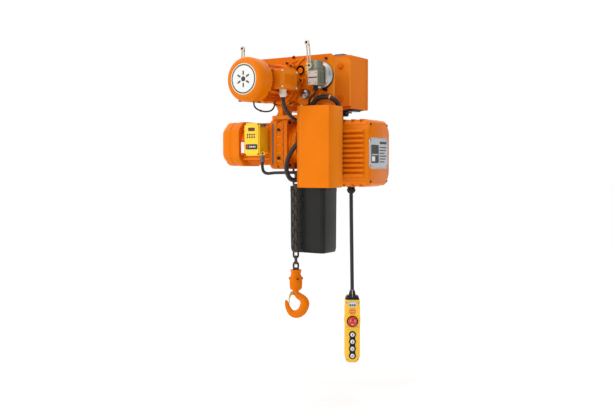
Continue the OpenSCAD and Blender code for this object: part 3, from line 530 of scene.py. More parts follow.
def octagon(r):
    """Eight-sided outline about the lift axis, with its corners eased."""
    c = 0.62 * r
    return eased([(c, r), (r, c), (r, -c), (c, -r), (-c, -r), (-r, -c), (-r, c), (-c, r)], 9)


def shroud(x, r):
    return [(x, LIFT[0] + u, LIFT[1] + w) for u, w in octagon(r)]


p = Piece(SATIN)
p.rings([shroud(x, r) for x, r in ((-296.4, 60), (-296.4, 66), (-294, 69.5), (-288, 74.5), (-281, 78), (-276, 79),
        (-256, 79),
                                   (-254.6, 77.8), (-251.4, 77.8), (-250, 79), (-233, 79), (-231, 80.2), (-216,
                                           80.2), (-213.5, 79), (-213.4, 75))])
p.lathe("x", LIFT, [(60, -296.2), (58, -296.8), (57, -296.8)], 72)
p.lathe("x", LIFT, [(31, -292.6), (31, -297.6), (28, -298), (0.1, -298), (0.1, -292.6)], 48)
for r in (37, 45, 53):
    p.torus("x", LIFT, -296.6, r, 1.5, 72, 10)
for turn in turns(22.5 + 45 * k for k in range(8)):
    p.prism("x", spoke(LIFT, turn, 29, 60, 2, 2), -297.6, -294)
p.use(ORANGE)
for c, s in turns((45, 135, 225, 315)):
    p.rod("x", (LIFT[0] + 78 * c, LIFT[1] + 78 * s), 5.5, -232, -217, 16)
p.use(WHITE).prism("y", rect(-206, -240, -192, -190), LIFT[0] - 76.6, LIFT[0] - 72)
p.use(RED).prism("y", rect(-206, -196, -192, -189), LIFT[0] - 76.9, LIFT[0] - 72)
p.prism("y", rect(-206, -241, -192, -235), LIFT[0] - 76.9, LIFT[0] - 72)
p.done("hoist_fan_shroud", "frame", ["hoist_fan_cover"], "orange_paint", bevel=0.8)

# ---- inverter ----
p = Piece(LEMON)
p.prism("y", rounded(-144, -238, -86, -142, 5, 3), -82, -44)
p.prism("y", rect(-144, -212, -86, -168), -46, -34)
p.done("inverter_housing", "frame", ["inverter_base"], "yellow_plastic", bevel=1.0)
p = Piece(LEMON)
cham = lambda x0, z0, x1, z1, c: [(x0 + c, z0), (x1 - c, z0), (x1, z0 + c), (x1, z1 - c), (x1 - c, z1), (x0 + c, z1),
        (x0, z1 - c), (x0, z0 + c)]
p.prism("y", cham(-148, -246, -84, -133, 7), -100, -82.4)
p.prism("y", cham(-144, -242, -88, -137, 6), -103.4, -100)
p.prism("y", cham(-137, -190, -95, -143, 5), -104.4, -103)
for z in (-243, -146):
    p.prism("y", cham(-90, z, -69, z + 11, 3), -92, -82.4)
    screw_head(p, "y", (-76, z + 5.5), 3.6, -92, -94.5, CAST)
screws(p, "y", grid((-143, -89), (-241, -138)), 2.6, -100, -102, CAST)
p.use(MAROON).prism("y", rounded(-129, -161, -101, -149, 2, 3), -105.0, -104)
p.use(INK)
for k in range(3):
    p.prism("y", rounded(-126 + 9 * k, -158.5, -120.5 + 9 * k, -151.5, 0.8, 2), -105.25, -104.8)
p.use(RED)
for k in range(3):
    p.prism("y", rounded(-125 + 9 * k, -155.8, -121.5 + 9 * k, -154.4, 0.4, 1), -105.4, -105.0)
p.use(INK)
for i in range(4):
    for j in range(2):
        p.lathe("y", (-132 + 9.6 * i, -173 - 9 * j), [(3.4, -104), (3.4, -105), (2.6, -105.4), (0.1, -105.5)], 20)
p.prism("y", rounded(-141, -224, -91, -206, 3, 3), -104.2, -103)
p.use(RED).lathe("y", (-133, -215), [(4.6, -104), (4.6, -104.8), (3.8, -105), (0.1, -105)], 28)
p.use(WHITE)
for k in range(4):
    p.prism("y", rounded(-124 + 7 * k, -217.5, -119.5 + 7 * k, -212.5, 0.8, 2), -104.6, -104)
p.done("inverter_front", "frame", ["inverter_lid"], "yellow_plastic", bevel=0.7)


# ---- trolley motor: cowl, badge, stator, gearbox, terminal box ----
p = Piece(SATIN)
cowl = [(0.1, -302.4), (50.8, -302.4), (51.6, -304)]
for k in range(9):
    a = math.radians(90 * k / 8)
    cowl.append((53 + 18 * math.sin(a), -286 - 18 * math.cos(a)))
cowl += [(71, -270), (71, -257), (69.4, -255.6), (69.4, -253.4), (70.6, -252), (70.6, -243), (69.6, -240.4), (66,
        -240.4),
         (66, -284), (50, -300), (0.1, -300)]
p.lathe("y", DRIVE, cowl, 96)
p.done("trolley_cowl", "frame", ["trolley_motor_cowl"], "orange_paint", bevel=0.6)
p = Piece(CREAM)
p.lathe("y", DRIVE, [(0.1, -303.5), (48, -303.5), (50, -303.1), (50, -301.6)], 96)
p.use(INK).lathe("y", DRIVE, [(46.4, -303.4), (46.2, -303.8), (42.6, -303.8), (42.4, -303.4)], 96)
p.use(WHITE).lathe("y", DRIVE, [(0.1, -303.75), (41.8, -303.75), (42.2, -303.3)], 96)
p.use(INK)
for k in range(6):
    a = math.radians(60 * k + 30)
    p.prism("y", [(r * math.cos(a + t), DRIVE[1] + r * math.sin(a + t))
                  for t, r in ((-0.22, 13), (0.22, 13), (0.1, 26), (-0.1, 26))], -303.98, -303.7)
p.lathe("y", DRIVE, [(0.1, -304.0), (8, -304.0), (8.4, -303.6)], 48)
p.done("trolley_badge", "frame", [], "white_plastic", bevel=0.15)

p = Piece(RUST)
p.lathe("y", DRIVE, [(53, -240), (53, -112.4)], 64)
for turn in turns(range(0, 360, 9)):
    p.prism("y", spoke(DRIVE, turn, 50, 60, 1.5, 1.0), -236, -120)
p.lathe("y", DRIVE, [(58, -122), (61.5, -121), (61.5, -113), (60, -112.4)], 72)
for c, s in turns((35, 145, 215, 325)):
    p.rod("y", (62 * c, DRIVE[1] + 62 * s), 5, -240, -114, 16)
p.prism("z", rect(30, -214, 49, -122), -30, 26)
p.use(BOLT)
for c, s in turns((35, 145, 215, 325)):
    p.rod("y", (67.5 * c, DRIVE[1] + 67.5 * s), 3.4, -249, -239, 12)
p.done("trolley_motor_body", "frame", ["trolley_stator"], "orange_paint", bevel=0.4)

p = Piece(ORANGE)
p.lathe("y", DRIVE, [(58, -112), (63, -111.4), (66, -108), (66, -96), (64.5, -93), (64.5, -80), (67, -77), (67, -70),
        (66, -60.6)], 80)
lugs = turns((10, 65, 115, 170, 245, 295))
for c, s in lugs:
    p.lathe("y", (68 * c, DRIVE[1] + 68 * s), [(9.6, -60.4), (10, -74), (9, -75)], 28)
    p.prism("y", [(54.4 * c - 5 * s, DRIVE[1] + 54 * s + 5 * c), (54.4 * c + 5 * s, DRIVE[1] + 54 * s - 5 * c)]
            + spoke(DRIVE, (c, s), 54, 68, 5, 5)[2:], -104, -61)
for turn in turns((30, 90, 150, 210, 270, 330)):
    p.prism("y", spoke(DRIVE, turn, 60, 67.5, 3, 3), -97, -76)
screws(p, "y", [(68 * c, DRIVE[1] + 68 * s) for c, s in lugs], 5.6, -75, -80.5, BOLT)
p.done("trolley_gear_case", "frame", ["trolley_gearbox"], "orange_paint", bevel=0.8)

p = Piece(ORANGE)
p.prism("x", rounded(-216, -33, -120, 30, 5, 4), 48, 78)
p.prism("x", rounded(-205, -24, -131, 21, 3, 3), 40, 49)
p.done("terminal_case", "frame", ["terminal_box"], "orange_paint", bevel=0.8)
p = Piece(ORANGE)
p.prism("x", rounded(-217, -33, -119, 31, 6, 5), 78.3, 82)
p.rings([[(x, y + (-168 - y) * k, z + (-1 - z) * k) for y, z in rounded(-217, -33, -119, 31, 6, 5)] for x, k in ((82,
        0), (84, 0.02), (85, 0.06))])
p.prism("x", rounded(-196, -17, -140, 15, 3, 3), 84, 85.6)
screws(p, "x", grid((-210, -126), (-26.5, 24.5)), 3.2, 84.6, 87, WHITE)
p.use(GREY).prism("x", rounded(-216.4, -32.4, -119.6, 30.4, 5, 4), 77.4, 78.5)
p.done("terminal_lid", "frame", ["terminal_cover"], "orange_paint", bevel=0.6)

# ---- glands ----
p = Piece(CREAM)


def gland(p, x, y, z0, z1, r, bore, mats):
    """A cable gland hanging from z1: hexagon against the housing, ribbed dome nut below, soft collar on the cable."""
    h = z1 - z0
    p.use(mats[0])
    p.lathe("z", (x, y), [(r, z1), (r, z1 - 0.24 * h), (r * 0.86, z1 - 0.25 * h), (r * 0.86, z1 - 0.4 * h)], 6)
    nut = [(r * 0.82, z1 - 0.3 * h), (r * 0.9, z1 - 0.42 * h), (r * 0.88, z1 - 0.74 * h), (r * 0.66, z1 - 0.93 * h),
            (bore + 1.2, z1 - 0.95 * h), (bore, z1 - 0.95 * h)]
    p.lathe("z", (x, y), nut, 36)
    for turn in turns(range(0, 360, 30)):
        p.prism("z", spoke((x, y), turn, 0.8 * r, 0.97 * r, 0.09 * r, 0.09 * r), z1 - 0.72 * h, z1 - 0.44 * h)
    p.use(mats[1])
    p.lathe("z", (x, y), [(bore + 1.4, z1 - 0.9 * h), (bore + 1.0, z0)], 28)


gland(p, 68, -180, -60, -33.3, 13, 6.6, (CREAM, RUBBER))
gland(p, -78, -92, -270, -246.3, 9, 5.6, (GREY, RUBBER))
for s in (-1, 1):
    gland(p, s * 146, -104, -37, -19.3, 9, 4.4, (PLASTIC, RUBBER))
gland(p, 203, 33, -374.5, -348.3, 15, 7.2, (PLASTIC, RUBBER))
p.use(PLASTIC)
p.prism("z", rounded(98, 112, 142, 156, 6, 4), -91, -85.3)
p.prism("z", rounded(101, 115, 139, 153, 5, 4), -94, -91)
p.lathe("z", (120, 134), [(15, -94), (15, -99), (13.4, -100), (13.4, -104), (12, -106), (8.2, -106), (8.2, -100)], 40)
screws(p, "z", grid((103.5, 136.5), (117.5, 150.5)), 2.6, -94, -96, STEEL)
p.done("gland_set", "frame", ["cable_glands"], "gland_plastic", bevel=0.4)

# ---- fixed leads ----
LEADS = {
    "motor_lead": (6, [(68, -180, -50), (68, -179, -70), (70, -168, -96), (76, -148, -118), (84, -132, -129),
            (91, -128, -131), (98, -128, -131), (102.9, -128, -131)]),
    "brake_lead": (2.6, [(10, -262, -77.4), (10, -256, -92), (10, -234, -101), (10, -200, -104), (10, -166, -99),
            (10, -148, -86), (10, -142, -66.3)]),
    "right_switch_lead": (4, [(146, -104, -36), (142, -102, -44), (128, -99, -53), (115, -94, -64), (112, -90, -76),
            (112, -90, -86)]),
    "left_switch_lead": (4, [(-146, -104, -36), (-147, -103, -44), (-160, -96, -52), (-184, -80, -52),
            (-199, -54, -48), (-203, 0, -46), (-199, 54, -46), (-182, 84, -46), (-150, 98, -46), (-116, 100, -46),
            (-100.9, 100, -46)]),
    "arch_lead": (8, [(124, -80, -85.7), (124, -80, -72), (138, -78, -59), (160, -76, -54), (182, -74, -57),
            (196, -66, -65), (202, -56, -77), (204, -50, -92), (204, -44, -108), (204, -39, -120), (204, -38, -129.5)]),
    "inverter_lead": (5.2, [(-78, -92, -262), (-78, -92, -284), (-74, -90, -300), (-62, -85, -307), (-38, -74, -305),
            (0, -62, -304), (36, -62, -303), (66, -68, -298), (84, -78, -291), (94, -88, -288), (103.1, -88, -288)]),
    "conduit": (8, [(103.1, -97, -192), (94, -97, -192.5), (76, -98, -201), (52, -98, -226), (32, -96, -254),
            (22, -92, -284), (20, -84, -306), (21, -68, -324), (26, -48, -330), (32, -37, -328), (39.2, -36, -328)]),
}
for name, (r, pts) in LEADS.items():
    p = Piece(RUBBER)
    line = smooth_path(pts, 8)
    if name == "conduit":
        ribbed = range(len(line) * 2 - 1)
        line = [line[i // 2] if i % 2 == 0 else (line[i // 2] + line[i // 2 + 1]) / 2 for i in ribbed]
        p.tube(line, [r - 0.7 * (i % 2) for i in ribbed], 20)
    else:
        p.tube(line, r, 18)
    if name in ("brake_lead", "arch_lead", "left_switch_lead"):
        mid = len(line) * 2 // 5
        d = (line[mid + 1] - line[mid - 1]).normalized() * 2.4
        p.use(BRASS if name == "arch_lead" else GREY)
        p.tube([line[mid] + d * k for k in (-1, -0.9, 0.9, 1)], [r, r + 1, r + 1, r], 18)
    stands_for = {"motor_lead": ["trolley_leads"], "inverter_lead": ["hoist_leads"]}.get(name, [])
    p.done(name, "frame", stands_for, "black_rubber", bevel=0)


# ---- front control box: bent sheet and folded cover ----
p = Piece(ORANGE)
p.prism("x", [(-152, -352), (-65, -352), (-65, -67), (-69, -67), (-92, -76), (-148, -86), (-152, -86)], 104, 106.5)
p.prism("y", rect(104, -349, 222, -90), -67.5, -65)
for z in (-160, -310):
    p.prism("y", rounded(140, z, 190, z + 20, 3, 3), -66, -54.3)
p.prism("z", [(106, -118), (106, -66), (124, -66), (124, -74), (112, -118)], -86.4, -84.6)
screws(p, "y", ((112, -106), (128, -330), (205, -330), (205, -106)), 3.4, -65, -62.4, BOLT)
p.done("front_box_frame", "frame", ["front_box"], "orange_paint", bevel=0.5)

p = Piece(ORANGE)
fold = [(106.8, -149), (107.7, -151.2), (109.8, -152), (222, -152), (224.1, -151.2), (225, -149)]
p.prism("z", [(106.8, -65)] + fold + [(225, -65), (222.5, -65), (222.5, -148.6), (221.8, -149.5), (110, -149.5),
                                      (109.3, -148.6), (109.3, -65)], -350, -89)
p.prism("z", [(106.8, -65)] + fold + [(225, -65)], -89.4, -87)
p.prism("z", [(106.8, -68)] + fold + [(225, -68)], -352, -349.6)
screws(p, "z", ((114, -142), (114, -78)), 3.2, -87, -84.4, WHITE)
screws(p, "x", grid((-138, -80), (-336, -104)), 2.8, 225, 226.6, ORANGE)
p.done("front_box_shell", "frame", ["front_box_cover"], "orange_paint", bevel=0.7, steps=3)

# ---- chain bucket: moulded tapered box with a rolled mouth ----
p = Piece(PLASTIC)


def tub(x0, y0, x1, y1, z, r):
    return [(x, y, z) for x, y in rounded(x0, y0, x1, y1, r, 6)]


outer = [tub(-38, 29, 94, 118, -587, 12), tub(-42, 26, 97, 121, -583.5, 15), tub(-44, 24, 98.5, 123, -574, 16),
        tub(-45, 23, 99, 124, -520, 17),
         tub(-45, 23, 99, 124, -470, 17),
         tub(-45.6, 22.4, 99.6, 124.8, -374, 17), tub(-46, 22, 100, 125.3, -370, 17), tub(-46, 22, 100, 125.3, -356,
                 17), tub(-45, 23, 99, 124.3, -352, 16)]
inner = [tub(-42.6, 25.4, 96.6, 121.9, -352, 14), tub(-41.6, 26.4, 95.6, 121, -356, 14), tub(-41, 27, 95, 120, -560,
        13), tub(-38, 30, 92, 117, -580, 10)]
p.rings(outer + inner)
p.prism("y", rounded(-20, -362, 30, -240, 6, 4), 121.6, 125.3)
p.prism("y", rounded(-8, -300, 18, -262, 4, 3), 119.5, 122)
screws(p, "y", ((-8, -252), (18, -252)), 4, 125.2, 128, BOLT)
p.done("bucket_tub", "frame", ["chain_bucket"], "black_plastic", bevel=0.7)

# ---- chains ----
def link(p, c, turn, pitch=21.0, wire=3.45):
    """One welded link: straight sides, round ends, a slight weld swell on one side."""
    half, inner, path = pitch / 2, 11.2 / 2 + wire / 2 + 1.0, []
    for k in range(9):
        a = math.radians(180 * k / 8)
        path.append((inner * math.cos(a), half - wire * 0.1 - inner + inner * math.sin(a) + wire))
    path += [(-inner, v) for v in (2.4, 0, -2.4)]
    for k in range(9):
        a = math.radians(180 + 180 * k / 8)
        path.append((inner * math.cos(a), -half + wire * 0.1 + inner + inner * math.sin(a) - wire))
    path += [(inner, v) for v in (-2.4, 0, 2.4)]
    radii = [wire] * 10 + [wire * 1.13] + [wire] * (len(path) - 11)
    ca, sa = math.cos(turn), math.sin(turn)
    p.tube([(c[0] + u * ca, c[1] + u * sa, c[2] + v) for u, v in path], radii, 10, ref=(-sa, ca, 0), closed=True)


p = Piece(CHAIN)
for i in range(22):
    link(p, (0, 0, -212 - 21 * i), math.radians(45 + 90 * (i % 2)))
p.done("load_chain_links", "hook_block", ["load_chain"], "chain_steel", bevel=0)
p = Piece(CHAIN)
for i in range(14):
    link(p, (0, 66, -212 - 21 * i), math.radians(45 + 90 * (i % 2)))
p.done("slack_chain_links", "slack_chain", ["slack_chain"], "chain_steel", bevel=0)

# ---- hook block, bolts, hook and latch ----
TURN = Matrix.Rotation(OPERATOR, 4, "Z")
z = -645
p = Piece(ORANGE)
p.lathe("z", (0, 0), [(12.6, z - 8), (12.6, z - 0.5), (13.4, z), (18, z), (19.6, z - 0.8), (20, z - 2), (19.4,
        z - 5.5), (17.6, z - 9), (16.8, z - 13), (17.4, z - 18),
                      (19.4, z - 22), (21.4, z - 26), (22.2, z - 31), (22.4, z - 45), (22.2, z - 58), (21.4,
                              z - 65), (19.4, z - 69.5), (15, z - 72.4),
                      (12.4, z - 73), (8.8, z - 73), (8.8, z - 66)], 64)
p.place = TURN
p.prism("y", rect(-0.7, z - 71, 0.7, z - 20), -22.7, -14)
for a in BLOCK_BOLTS:
    p.place = Matrix.Rotation(math.radians(a), 4, "Z")
    p.lathe("x", (0, z - 31), [(5.8, 18), (5.8, 22.2), (5.2, 22.9), (4.0, 22.9)], 28)
p.done("hook_block_body", "hook_block", ["hook_block"], "orange_paint", bevel=0.3)
p = Piece(BOLT)
for a in BLOCK_BOLTS:
    p.place = Matrix.Rotation(math.radians(a), 4, "Z")
    screw_head(p, "x", (0, z - 31), 3.6, 21.6, 25, BOLT)
p.done("hook_block_bolts", "hook_block", ["block_bolts"], "black_bolts", bevel=0.2)

hook_pts = [(0, -722), (0, -728), (10, -738), (23, -747), (30, -758), (31, -770), (24, -788), (14, -798), (1, -803),
        (-11, -801), (-20, -794), (-28, -780),
            (-31.5, -767), (-35, -755)]
hook_rad = [9, 9.5, 12, 13.5, 15.5, 16.5, 16, 15.3, 14.3, 12.6, 10.9, 9, 8, 4]
pts = smooth_path([(u, 0, w) for u, w in hook_pts], 5)
rads = [v.x for v in smooth_path([(r, 0, 0) for r in hook_rad], 5)]
p = Piece(SATIN, TURN)
rings, across = [], Vector((0, 1, 0))
for i, c in enumerate(pts):
    out = (pts[min(i + 1, len(pts) - 1)] - pts[max(i - 1, 0)]).normalized().cross(across)
    narrow = 0.22 * math.sin(math.pi * min(1, max(0, (i / (len(pts) - 1) - 0.1) / 0.85)))
    rings.append([c + rads[i] * (0.8 * (1 - narrow * max(0.0, v)) * u * across + v * out)
                  for u, v in turns(360 * j / 28 for j in range(28))])
# two smaller rings round off the tip
onward, end = (pts[-1] - pts[-2]).normalized(), rings[-1]
for step, share in ((1.6, 0.72), (2.5, 0.3)):
    rings.append([pts[-1] + onward * step + (v - pts[-1]) * share for v in end])
p.rings(rings)
p.lathe("z", (0, 0), [(8.4, -716), (10.6, -717.5), (10.8, -723), (10.2, -727), (8.4, -729)], 40)
p.prism("y", [(-18.5, -728), (-16, -723.6), (-8, -722.4), (2, -722.4), (2, -734), (-8, -735), (-15, -733.4), (-18,
        -731)],
        -4.6, 4.6)
p.use(STEEL)
p.lathe("y", LATCH_PIN, [(1.2, -8.6), (2.5, -8), (2.5, 8), (1.2, 8.6)], 24)
p.done("hook_forging", "hook", ["hook"], "orange_paint", bevel=0.5, angle=50)

p = Piece(ZINC, TURN)
cheek = [(-11, -725), (-15, -723.2), (-19, -725), (-23, -734), (-26, -748), (-25.6, -756), (-24, -762.5), (-21.6,
        -762.5), (-22.6, -755), (-22, -748), (-18, -739), (-12.4, -732), (-10.6, -728.5)]
for y in (-7, 5.6):
    p.prism("y", cheek, y, y + 1.4)
back = [(-19, -725.6), (-23, -734), (-26, -748), (-25.6, -756), (-24, -762.6)]
skin = [(u, w) for u, w in back] + [(u + 1.3, w + 0.1) for u, w in reversed(back)]
p.prism("y", skin[1:-1], -6.6, 6.6)
for y0, y1 in ((-8.4, -7), (7, 8.4)):
    p.lathe("y", LATCH_PIN, [(5, y0), (5, y1), (2.8, y1)] if y0 > 0 else [(2.8, y0), (5, y0), (5, y1)], 28)
p.use(STEEL)
for yy in (-3.2, -1.8, -0.4, 1.0, 2.4):
    p.torus("y", LATCH_PIN, yy, 3.6, 0.6, 32, 8)
p.done("latch_strap", "latch", ["latch"], "yellow_zinc", bevel=0.25)


# ---- limit switches, brackets, levers, bell ----
brackets, bodies = Piece(ZINC), Piece(OLIVE)
for s in (-1, 1):
    m = Matrix.Diagonal((s, 1, 1, 1))
    p = brackets
    p.place = m
    p.use(ZINC)
    p.prism("z", [(80, -60.3), (80, -63.5), (93.6, -63.5), (95, -64.9), (95, -81.4), (96.4, -82.8), (160, -82.8), (160,
            -79.8), (98, -79.8), (98, -60.3)], 26, 62)
    p.prism("y", rect(98, -8, 160, 26), -82.8, -79.8)
    p.prism("z", [(95, -63), (95, -81.4), (98, -81.4), (98, -63)], 24, 64)
    for zz in (33, 55):
        screw_head(p, "x", (-71.5, zz), 4.6, 98, 103.5, BOLT)
        screw_head(p, "y", (87.5, zz), 4.4, -63.5, -68.6, BOLT)
    screws(p, "y", ((133, -4), (154, -4)), 3, -82.8, -85.6, STEEL)
    p = bodies
    p.place = m
    p.use(OLIVE)
    p.prism("z", rounded(127, -124, 166, -83, 2.5, 3), -19, 31)
    p.use(ALLOY).prism("y", rect(129, -17, 164, 4), -125, -123)
    p.use(INK).prism("y", rect(130.5, 4, 162.5, 8), -124.6, -123)
    p.use(ALLOY).prism("y", rect(129, 8, 164, 27), -125, -123)
    p.use(GREY)
    for k in range(4):
        p.prism("x", rect(-119 + 9 * k, -14, -115.5 + 9 * k, 27), 165.4, 166)
    p.prism("z", rounded(128, -123, 165, -84, 2, 3), 31, 34)
    p.use(OLIVE).prism("z", rounded(130, -122, 163, -86, 3, 3), 34, 61)
    p.prism("z", rounded(133, -118, 160, -89, 2, 3), 61, 63)
    for k in range(3):
        p.prism("z", rect(161.5, -118 + 11 * k, 164.6, -114 + 11 * k), 35, 60)
    p.lathe("y", LEVER_PIVOT, [(11.5, -122), (11.5, -124), (10, -125), (5, -125)], 36)
    screws(p, "y", ((134, 58), (159, 58), (134, 37.5), (159, 37.5)), 1.8, -122, -123.4, STEEL)
    screw_head(p, "y", (158, -11), 2.8, -125, -126.6, BRASS)
    screw_head(p, "y", (134, -11), 2.2, -125, -126.2, STEEL)
    screw_head(p, "y", (134, 21), 2.2, -125, -126.2, STEEL)
    screw_head(p, "y", (159, 21), 2.2, -125, -126.2, STEEL)
brackets.done("switch_bracket_pair", "frame", ["switch_brackets"], "yellow_zinc", bevel=0.4)
bodies.done("switch_pair", "frame", ["limit_switches"], "switch_alloy", bevel=0.5)

for s, side in ((-1, "left"), (1, "right")):
    p = Piece(LEVER, Matrix.Diagonal((s, 1, 1, 1)))
    a, b = Vector(spot("y", *LEVER_PIVOT, 0)), Vector(spot("y", *LEVER_END, 0))
    d = (b - a).normalized()
    n = Vector((d.z, 0, -d.x))

    def strip(u0, v0, u1, v1, y0, y1):
        """A flat bar in the lever's own plane: along it from u0 to u1, across from v0 to v1."""
        q = [a + d * u + n * v for u, v in ((u0, v0), (u0, v1), (u1, v1), (u1, v0))]
        p.prism("y", [(w.x, w.z) for w in q], y0, y1)

    strip(6, -7, 68, -2.6, -130, -127.4)
    strip(6, 2.6, 68, 7, -130, -127.4)
    strip(66, -6, 74, 6, -130, -127.4)
    strip(-6, -6.4, 10, 6.4, -130, -127.4)
    p.lathe("y", LEVER_PIVOT, [(8.6, -126.6), (9.4, -127.2), (9.4, -130.6), (8.4, -131.6), (2, -131.6)], 36)
    p.prism("x", rect(-131, 35, -127.5, 41), 131, 143)
    p.rod("y", LEVER_END, 3, -137, -127.5, 20)
    p.lathe("y", LEVER_END, [(5.6, -127.4), (5.6, -130.2), (3, -130.3)], 28)
    p.use(BOLT).lathe("y", LEVER_PIVOT, [(3.8, -131.4), (3.8, -133.4), (3, -134.4), (1.9, -134.4), (1.9, -133)], 6)
    p.use(BRASS).lathe("y", (136.2, 54), [(2.6, -130), (2.6, -132), (2.1, -132.6)], 6)
    p.done(side + "_lever_arm", side + "_lever", [side + "_lever"], "switch_alloy", bevel=0.3)
    p = Piece(CREAM, Matrix.Diagonal((s, 1, 1, 1)))
    p.lathe("y", LEVER_END, [(3.3, -130.6), (8.2, -130.6), (9, -131.4), (9, -136.2), (8.2, -137), (3.3, -137)], 44)
    p.use(BRASS).lathe("y", LEVER_END, [(3.2, -130.4), (4.6, -130.5), (4.6, -137.0), (3.2, -137.0)], 28)
    p.done(side + "_wheel", side + "_roller", [side + "_roller"], "white_plastic", bevel=0.25)

p = Piece(PLASTIC)
p.lathe("y", (146, 15.5), [(43, -60.4), (43, -62.2), (41, -63), (8, -63), (8, -66)], 80)
for c, s in turns((150, 210, 330, 30)):
    p.rod("y", (BELL[0] + 36 * c, BELL[1] + 36 * s), 3.5, -60.4, -62.8, 16)
p.prism("y", rounded(122, -32, 164, -20, 4, 4), -63, -60.4)
p.done("bell_foot", "frame", ["bell_base"], "black_plastic", bevel=0.5)
p = Piece(CHROME)
dome = [(44, -63.3), (44.2, -64.6), (43.4, -66.4), (40.6, -68), (38.6, -68.6), (36.6, -71), (33, -73.2), (28, -75),
        (21, -76.8), (12, -77.9), (6.5, -78.2), (6.5, -76.6),
        (12, -76.4), (21, -75.2), (28, -73.4), (33, -71.4), (37, -67.4), (42, -65)]
p.lathe("y", BELL, dome + [(42.4, -63.3)], 96)
p.use(BOLT).lathe("y", BELL, [(5.4, -76), (5.4, -79.4), (4.2, -80.2), (0.1, -80.2)], 6)
p.done("bell_dome", "frame", ["bell_gong"], "chrome", bevel=0.2)

# ---- rear box with its lid, and the bolts ----
p = Piece(ORANGE)
p.prism("y", rounded(-100, -85, 186, 98, 4, 4), 60.4, 64)
p.rings([[(x, yy, zz) for x, zz in rounded(-100, -85, 186, 98, 4, 4)] for yy in (63.5, 169)])
p.done("rear_case", "frame", ["rear_box"], "orange_paint", bevel=0.8)
p = Piece(ORANGE)
p.rings([[(x, yy, zz) for x, zz in rounded(-100 + i, -85 + i, 186 - i, 98 - i, 4, 4)] for i, yy in ((0, 171), (0, 184),
        (1.2, 186))])
p.use(INK).rings([[(x, yy, zz) for x, zz in rounded(-98.4, -83.4, 184.4, 96.4, 4, 4)] for yy in (168.8, 171.2)])
screws(p, "y", grid((-88, 174), (-73, 86)), 4, 183, 186, BOLT)
p.use(ORANGE)
for k in range(9):
    p.prism("y", rounded(-20 + 14 * k, -40, -13 + 14 * k, 50, 3, 3), 184.5, 186)
p.done("rear_lid", "frame", ["rear_box_lid"], "orange_paint", bevel=0.8)

p = Piece(BOLT)
for x, zz in ((5, 68), (32, 86)):
    p.use(ORANGE).lathe("y", (x, zz), [(6.6, -60.2), (6.6, -61.2), (6.2, -61.6)], 28)
    screw_head(p, "y", (x, zz), 4.2, -61.2, -66, BOLT)
for s in (-1, 1):
    screws(p, "y", ((s * 160, 74), (s * 160, -30)), 4.6, -60.2, -64.6, BOLT)
screws(p, "x", grid((-42, 109), (-280, -132)), 6, -0.9, 5, BOLT)
for x in (152, 0):
    for zz in (62, -51):
        p.use(ORANGE).lathe("y", (x, zz), [(13, 49.7), (13, 48.9), (12.2, 48.6)], 32)
        p.lathe("y", (x, zz), [(9.4, 49), (9.4, 45), (8.2, 44), (4, 44)], 6)
p.done("bolt_set", "frame", ["socket_bolts"], "black_bolts", bevel=0.3)

# flat relay seen on top of the rear box
p = Piece(INK)
p.prism("z", rounded(86, 66, 118, 112, 3, 3), 97.5, 103)
p.use(GREY).prism("z", rounded(118, 66, 152, 112, 3, 3), 97.5, 105)
p.done("top_relay", "frame", [], "black_plastic", bevel=0.6)

# black foot plate under the rear box
p = Piece(PLASTIC)
p.prism("z", rect(150, 80, 184, 150), -88.5, -85.2)
p.prism("z", rect(156, 86, 178, 144), -92, -88.2)
p.done("under_plate", "frame", [], "black_plastic", bevel=0.6)

# bracket ribs below the limit switch, on the front plate
p = Piece(RUST)
for x0, z0, x1, z1 in ((100, -18, 122, -62), (132, -26, 112, -66), (132, -26, 168, -44)):
    p.prism("y", bar(x0, z0, x1, z1, 3.2), -66, -60.2)
p.done("plate_ribs", "frame", [], "orange_paint", bevel=0.8)

# cast relief on the front plate round the gearbox
p = Piece(ORANGE)
for s in (-1, 1):
    p.lathe("y", (s * 60, 40), [(19, -60.2), (19, -63), (18, -64), (10.6, -64)], 56)
    p.lathe("y", (s * 82, -41), [(24, -60.2), (24, -61.6), (22.5, -62.4), (16.4, -62.4)], 56)
for x0, z0, x1, z1, w in ((40, 56, 74, 84, 4), (22, 70, 60, 78, 3)):
    p.prism("y", bar(x0, z0, x1, z1, w), -64.5, -60.2)
p.done("plate_relief", "frame", [], "orange_paint", bevel=1.0)


# ---- pendant: cap, housing, emergency stop and four buttons, turned to face the operator ----
FACE = Matrix.Translation((208, 33, 0)) @ Matrix.Rotation(OPERATOR, 4, "Z")
p = Piece(PLASTIC, FACE)
p.lathe("z", (0, 0), [(7.0, -706), (8.4, -706), (10.5, -712), (12, -721), (14.5, -722.5)], 40)
p.rings([[(x * k, y * k, zz) for x, y in rounded(-24.5, -20, 24.5, 20, 8, 5)] for k, zz in ((0.55, -720.8), (0.74,
        -722), (0.86, -725), (0.95, -731), (1.0, -735))])
for x in (-15, -5, 5, 15):
    p.prism("z", rect(x - 1.4, -21.5, x + 1.4, -15), -735, -725)
p.use(STEEL)
p.tube([(0, -3, -701), (0, -12, -706), (0, -18, -716), (0, -20.6, -727)], 1.5, 10)
p.torus("z", (0, 0), -704, 7.6, 1.3, 36, 8)
p.done("pendant_hood", "pendant", ["pendant_cap"], "black_plastic", bevel=0.6)

p = Piece(YELLOW, FACE)


def slab(wx, y0, y1, zz, r=7):
    return [(x, y, zz) for x, y in rounded(-wx, y0, wx, y1, r, 5)]


